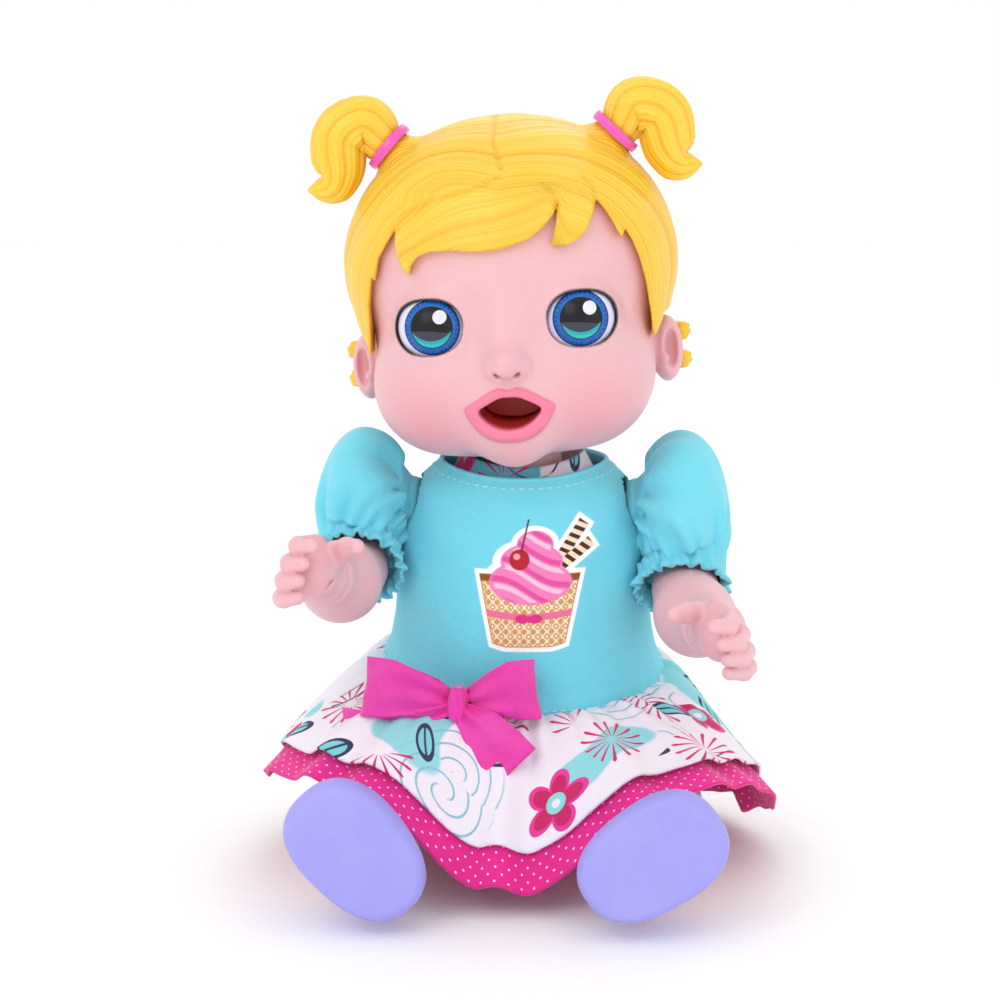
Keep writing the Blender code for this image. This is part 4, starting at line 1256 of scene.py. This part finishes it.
# ------------------------------------------------------------------ pieces kept from the CAD
KEPT_LOOKS = (
    (("screw", "spring", "contact", "speaker_frame", "speaker_magnet"),
     "spring_steel", "#B9BDC2", "#9EA3A8", 0.28, 2.0, 1.0),
    (("battery_cell",), "cell_wrap", "#C77A3A", "#B86A2C", 0.3, 1.0),
    (("circuit_board",), "board_laminate", "#1C6B3C", "#185C34", 0.45, 1.2),
    (("speaker_cone",), "cone_paper", "#3A3A3E", "#2E2E32", 0.85, 2.4),
    (("sound_chip", "mouth_switch", "button_switch", "switch_case"),
     "black_plastic", "#17171A", "#24242A", 0.4, 1.8),
    (("hair_tie",), "tie_plastic", "#EC57BC", "#F272C9", 0.16, 0.8),
    (("mouth_cup", "mouth_trigger"), "mouth_plastic", "#E8342A", "#F04434", 0.3, 0.9),
    (("closure",), "hook_tape", "#7ACFDB", "#69BECB", 0.95, 3.2),
    (("power_switch", "tummy_button", "button_bracket", "battery_case"),
     "white_plastic", "#EDEDE8", "#E2E2DC", 0.4, 1.5),
    (("",), "body_plastic", "#EDBFC2", "#F2CBCB", 0.45, 1.5))


def plain(name, colour, second, roughness, grain, metallic=0.0):
    """A moulded or drawn material with a clouded colour and a fine grain."""
    s = Shader(name, colour, roughness, Metallic=metallic)
    cloud = s.noise(s.where(), 0.12, 3.0)
    s.over(cloud.step(0.4, 0.7) * 0.5, second)
    s.rough(roughness - 0.06 + cloud * 0.14)
    s.bump(s.noise(s.where(), grain, 3.0, 0.6), 0.05)
    return s.done()


def keep_nodes():
    """Gives every CAD node that stays visible the first look that has a word of its name."""
    looks = [(words, plain(*look)) for words, *look in KEPT_LOOKS]
    for name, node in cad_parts.items():
        node.data.materials.clear()
        node.data.materials.append(next(look for words, look in looks if any(word in name for word in words)))


# ------------------------------------------------------------------ studio
def studio():
    scene = bpy.context.scene
    target = Vector((-8, 0, 116)) * MM
    yaw, lift, reach = math.radians(4), math.radians(10), 0.8
    camera = bpy.data.objects.new("camera", bpy.data.cameras.new("camera"))
    scene.collection.objects.link(camera)
    way = Vector((math.sin(yaw) * math.cos(lift), -math.cos(yaw) * math.cos(lift), math.sin(lift)))
    camera.location = target + way * reach
    camera.rotation_euler = (target - camera.location).to_track_quat("-Z", "Y").to_euler()
    camera.data.sensor_width = 36
    camera.data.lens = 86
    camera.data.clip_start = 0.01
    scene.camera = camera

    world = bpy.data.worlds.new("studio")
    scene.world = world
    world.use_nodes = True
    backdrop = world.node_tree.nodes["Background"].inputs
    backdrop["Color"].default_value = (1, 1, 1, 1)
    backdrop["Strength"].default_value = 1.0
    for name, place, size, power in (
            ("key", (-0.45, -0.9, 0.8), 0.6, 2.2),
            ("fill", (0.8, -0.7, 0.35), 0.8, 0.8),
            ("rim", (0.1, 0.8, 0.8), 0.7, 1.0)):
        lamp = bpy.data.lights.new(name, "AREA")
        lamp.size = size
        lamp.energy = power
        obj = bpy.data.objects.new(name, lamp)
        scene.collection.objects.link(obj)
        obj.location = place
        aim = Vector((0, 0, 0.12)) - obj.location
        obj.rotation_euler = aim.to_track_quat("-Z", "Y").to_euler()

    bpy.ops.mesh.primitive_plane_add(size=6, location=(0, 0, -0.0005))
    floor = bpy.context.object
    floor.name = "floor"
    paper = Shader("paper", "#FFFFFF", 0.9)
    paper.bump(paper.noise(paper.vector(*paper.place()), 0.4), 0.05)
    floor.data.materials.append(paper.done())
    scene.view_settings.view_transform = "Standard"


def main():
    studio()
    keep_nodes()
    skin = head()
    eyes()
    hair()
    limbs(skin)
    printed = knit_material("knit_printed")
    cupcake(printed)
    knit = knit_material("knit").done()
    thread = plain("thread", "#A9EEF4", "#8EE0E8", 0.7, 3.0)
    floral = floral_material()
    bodice(printed.done(), thread)
    collar(floral)
    skirts(floral, petticoat_material())
    for name, side in SIDES.items():
        sleeve(name, side, knit)
    bow(satin_material())


main()
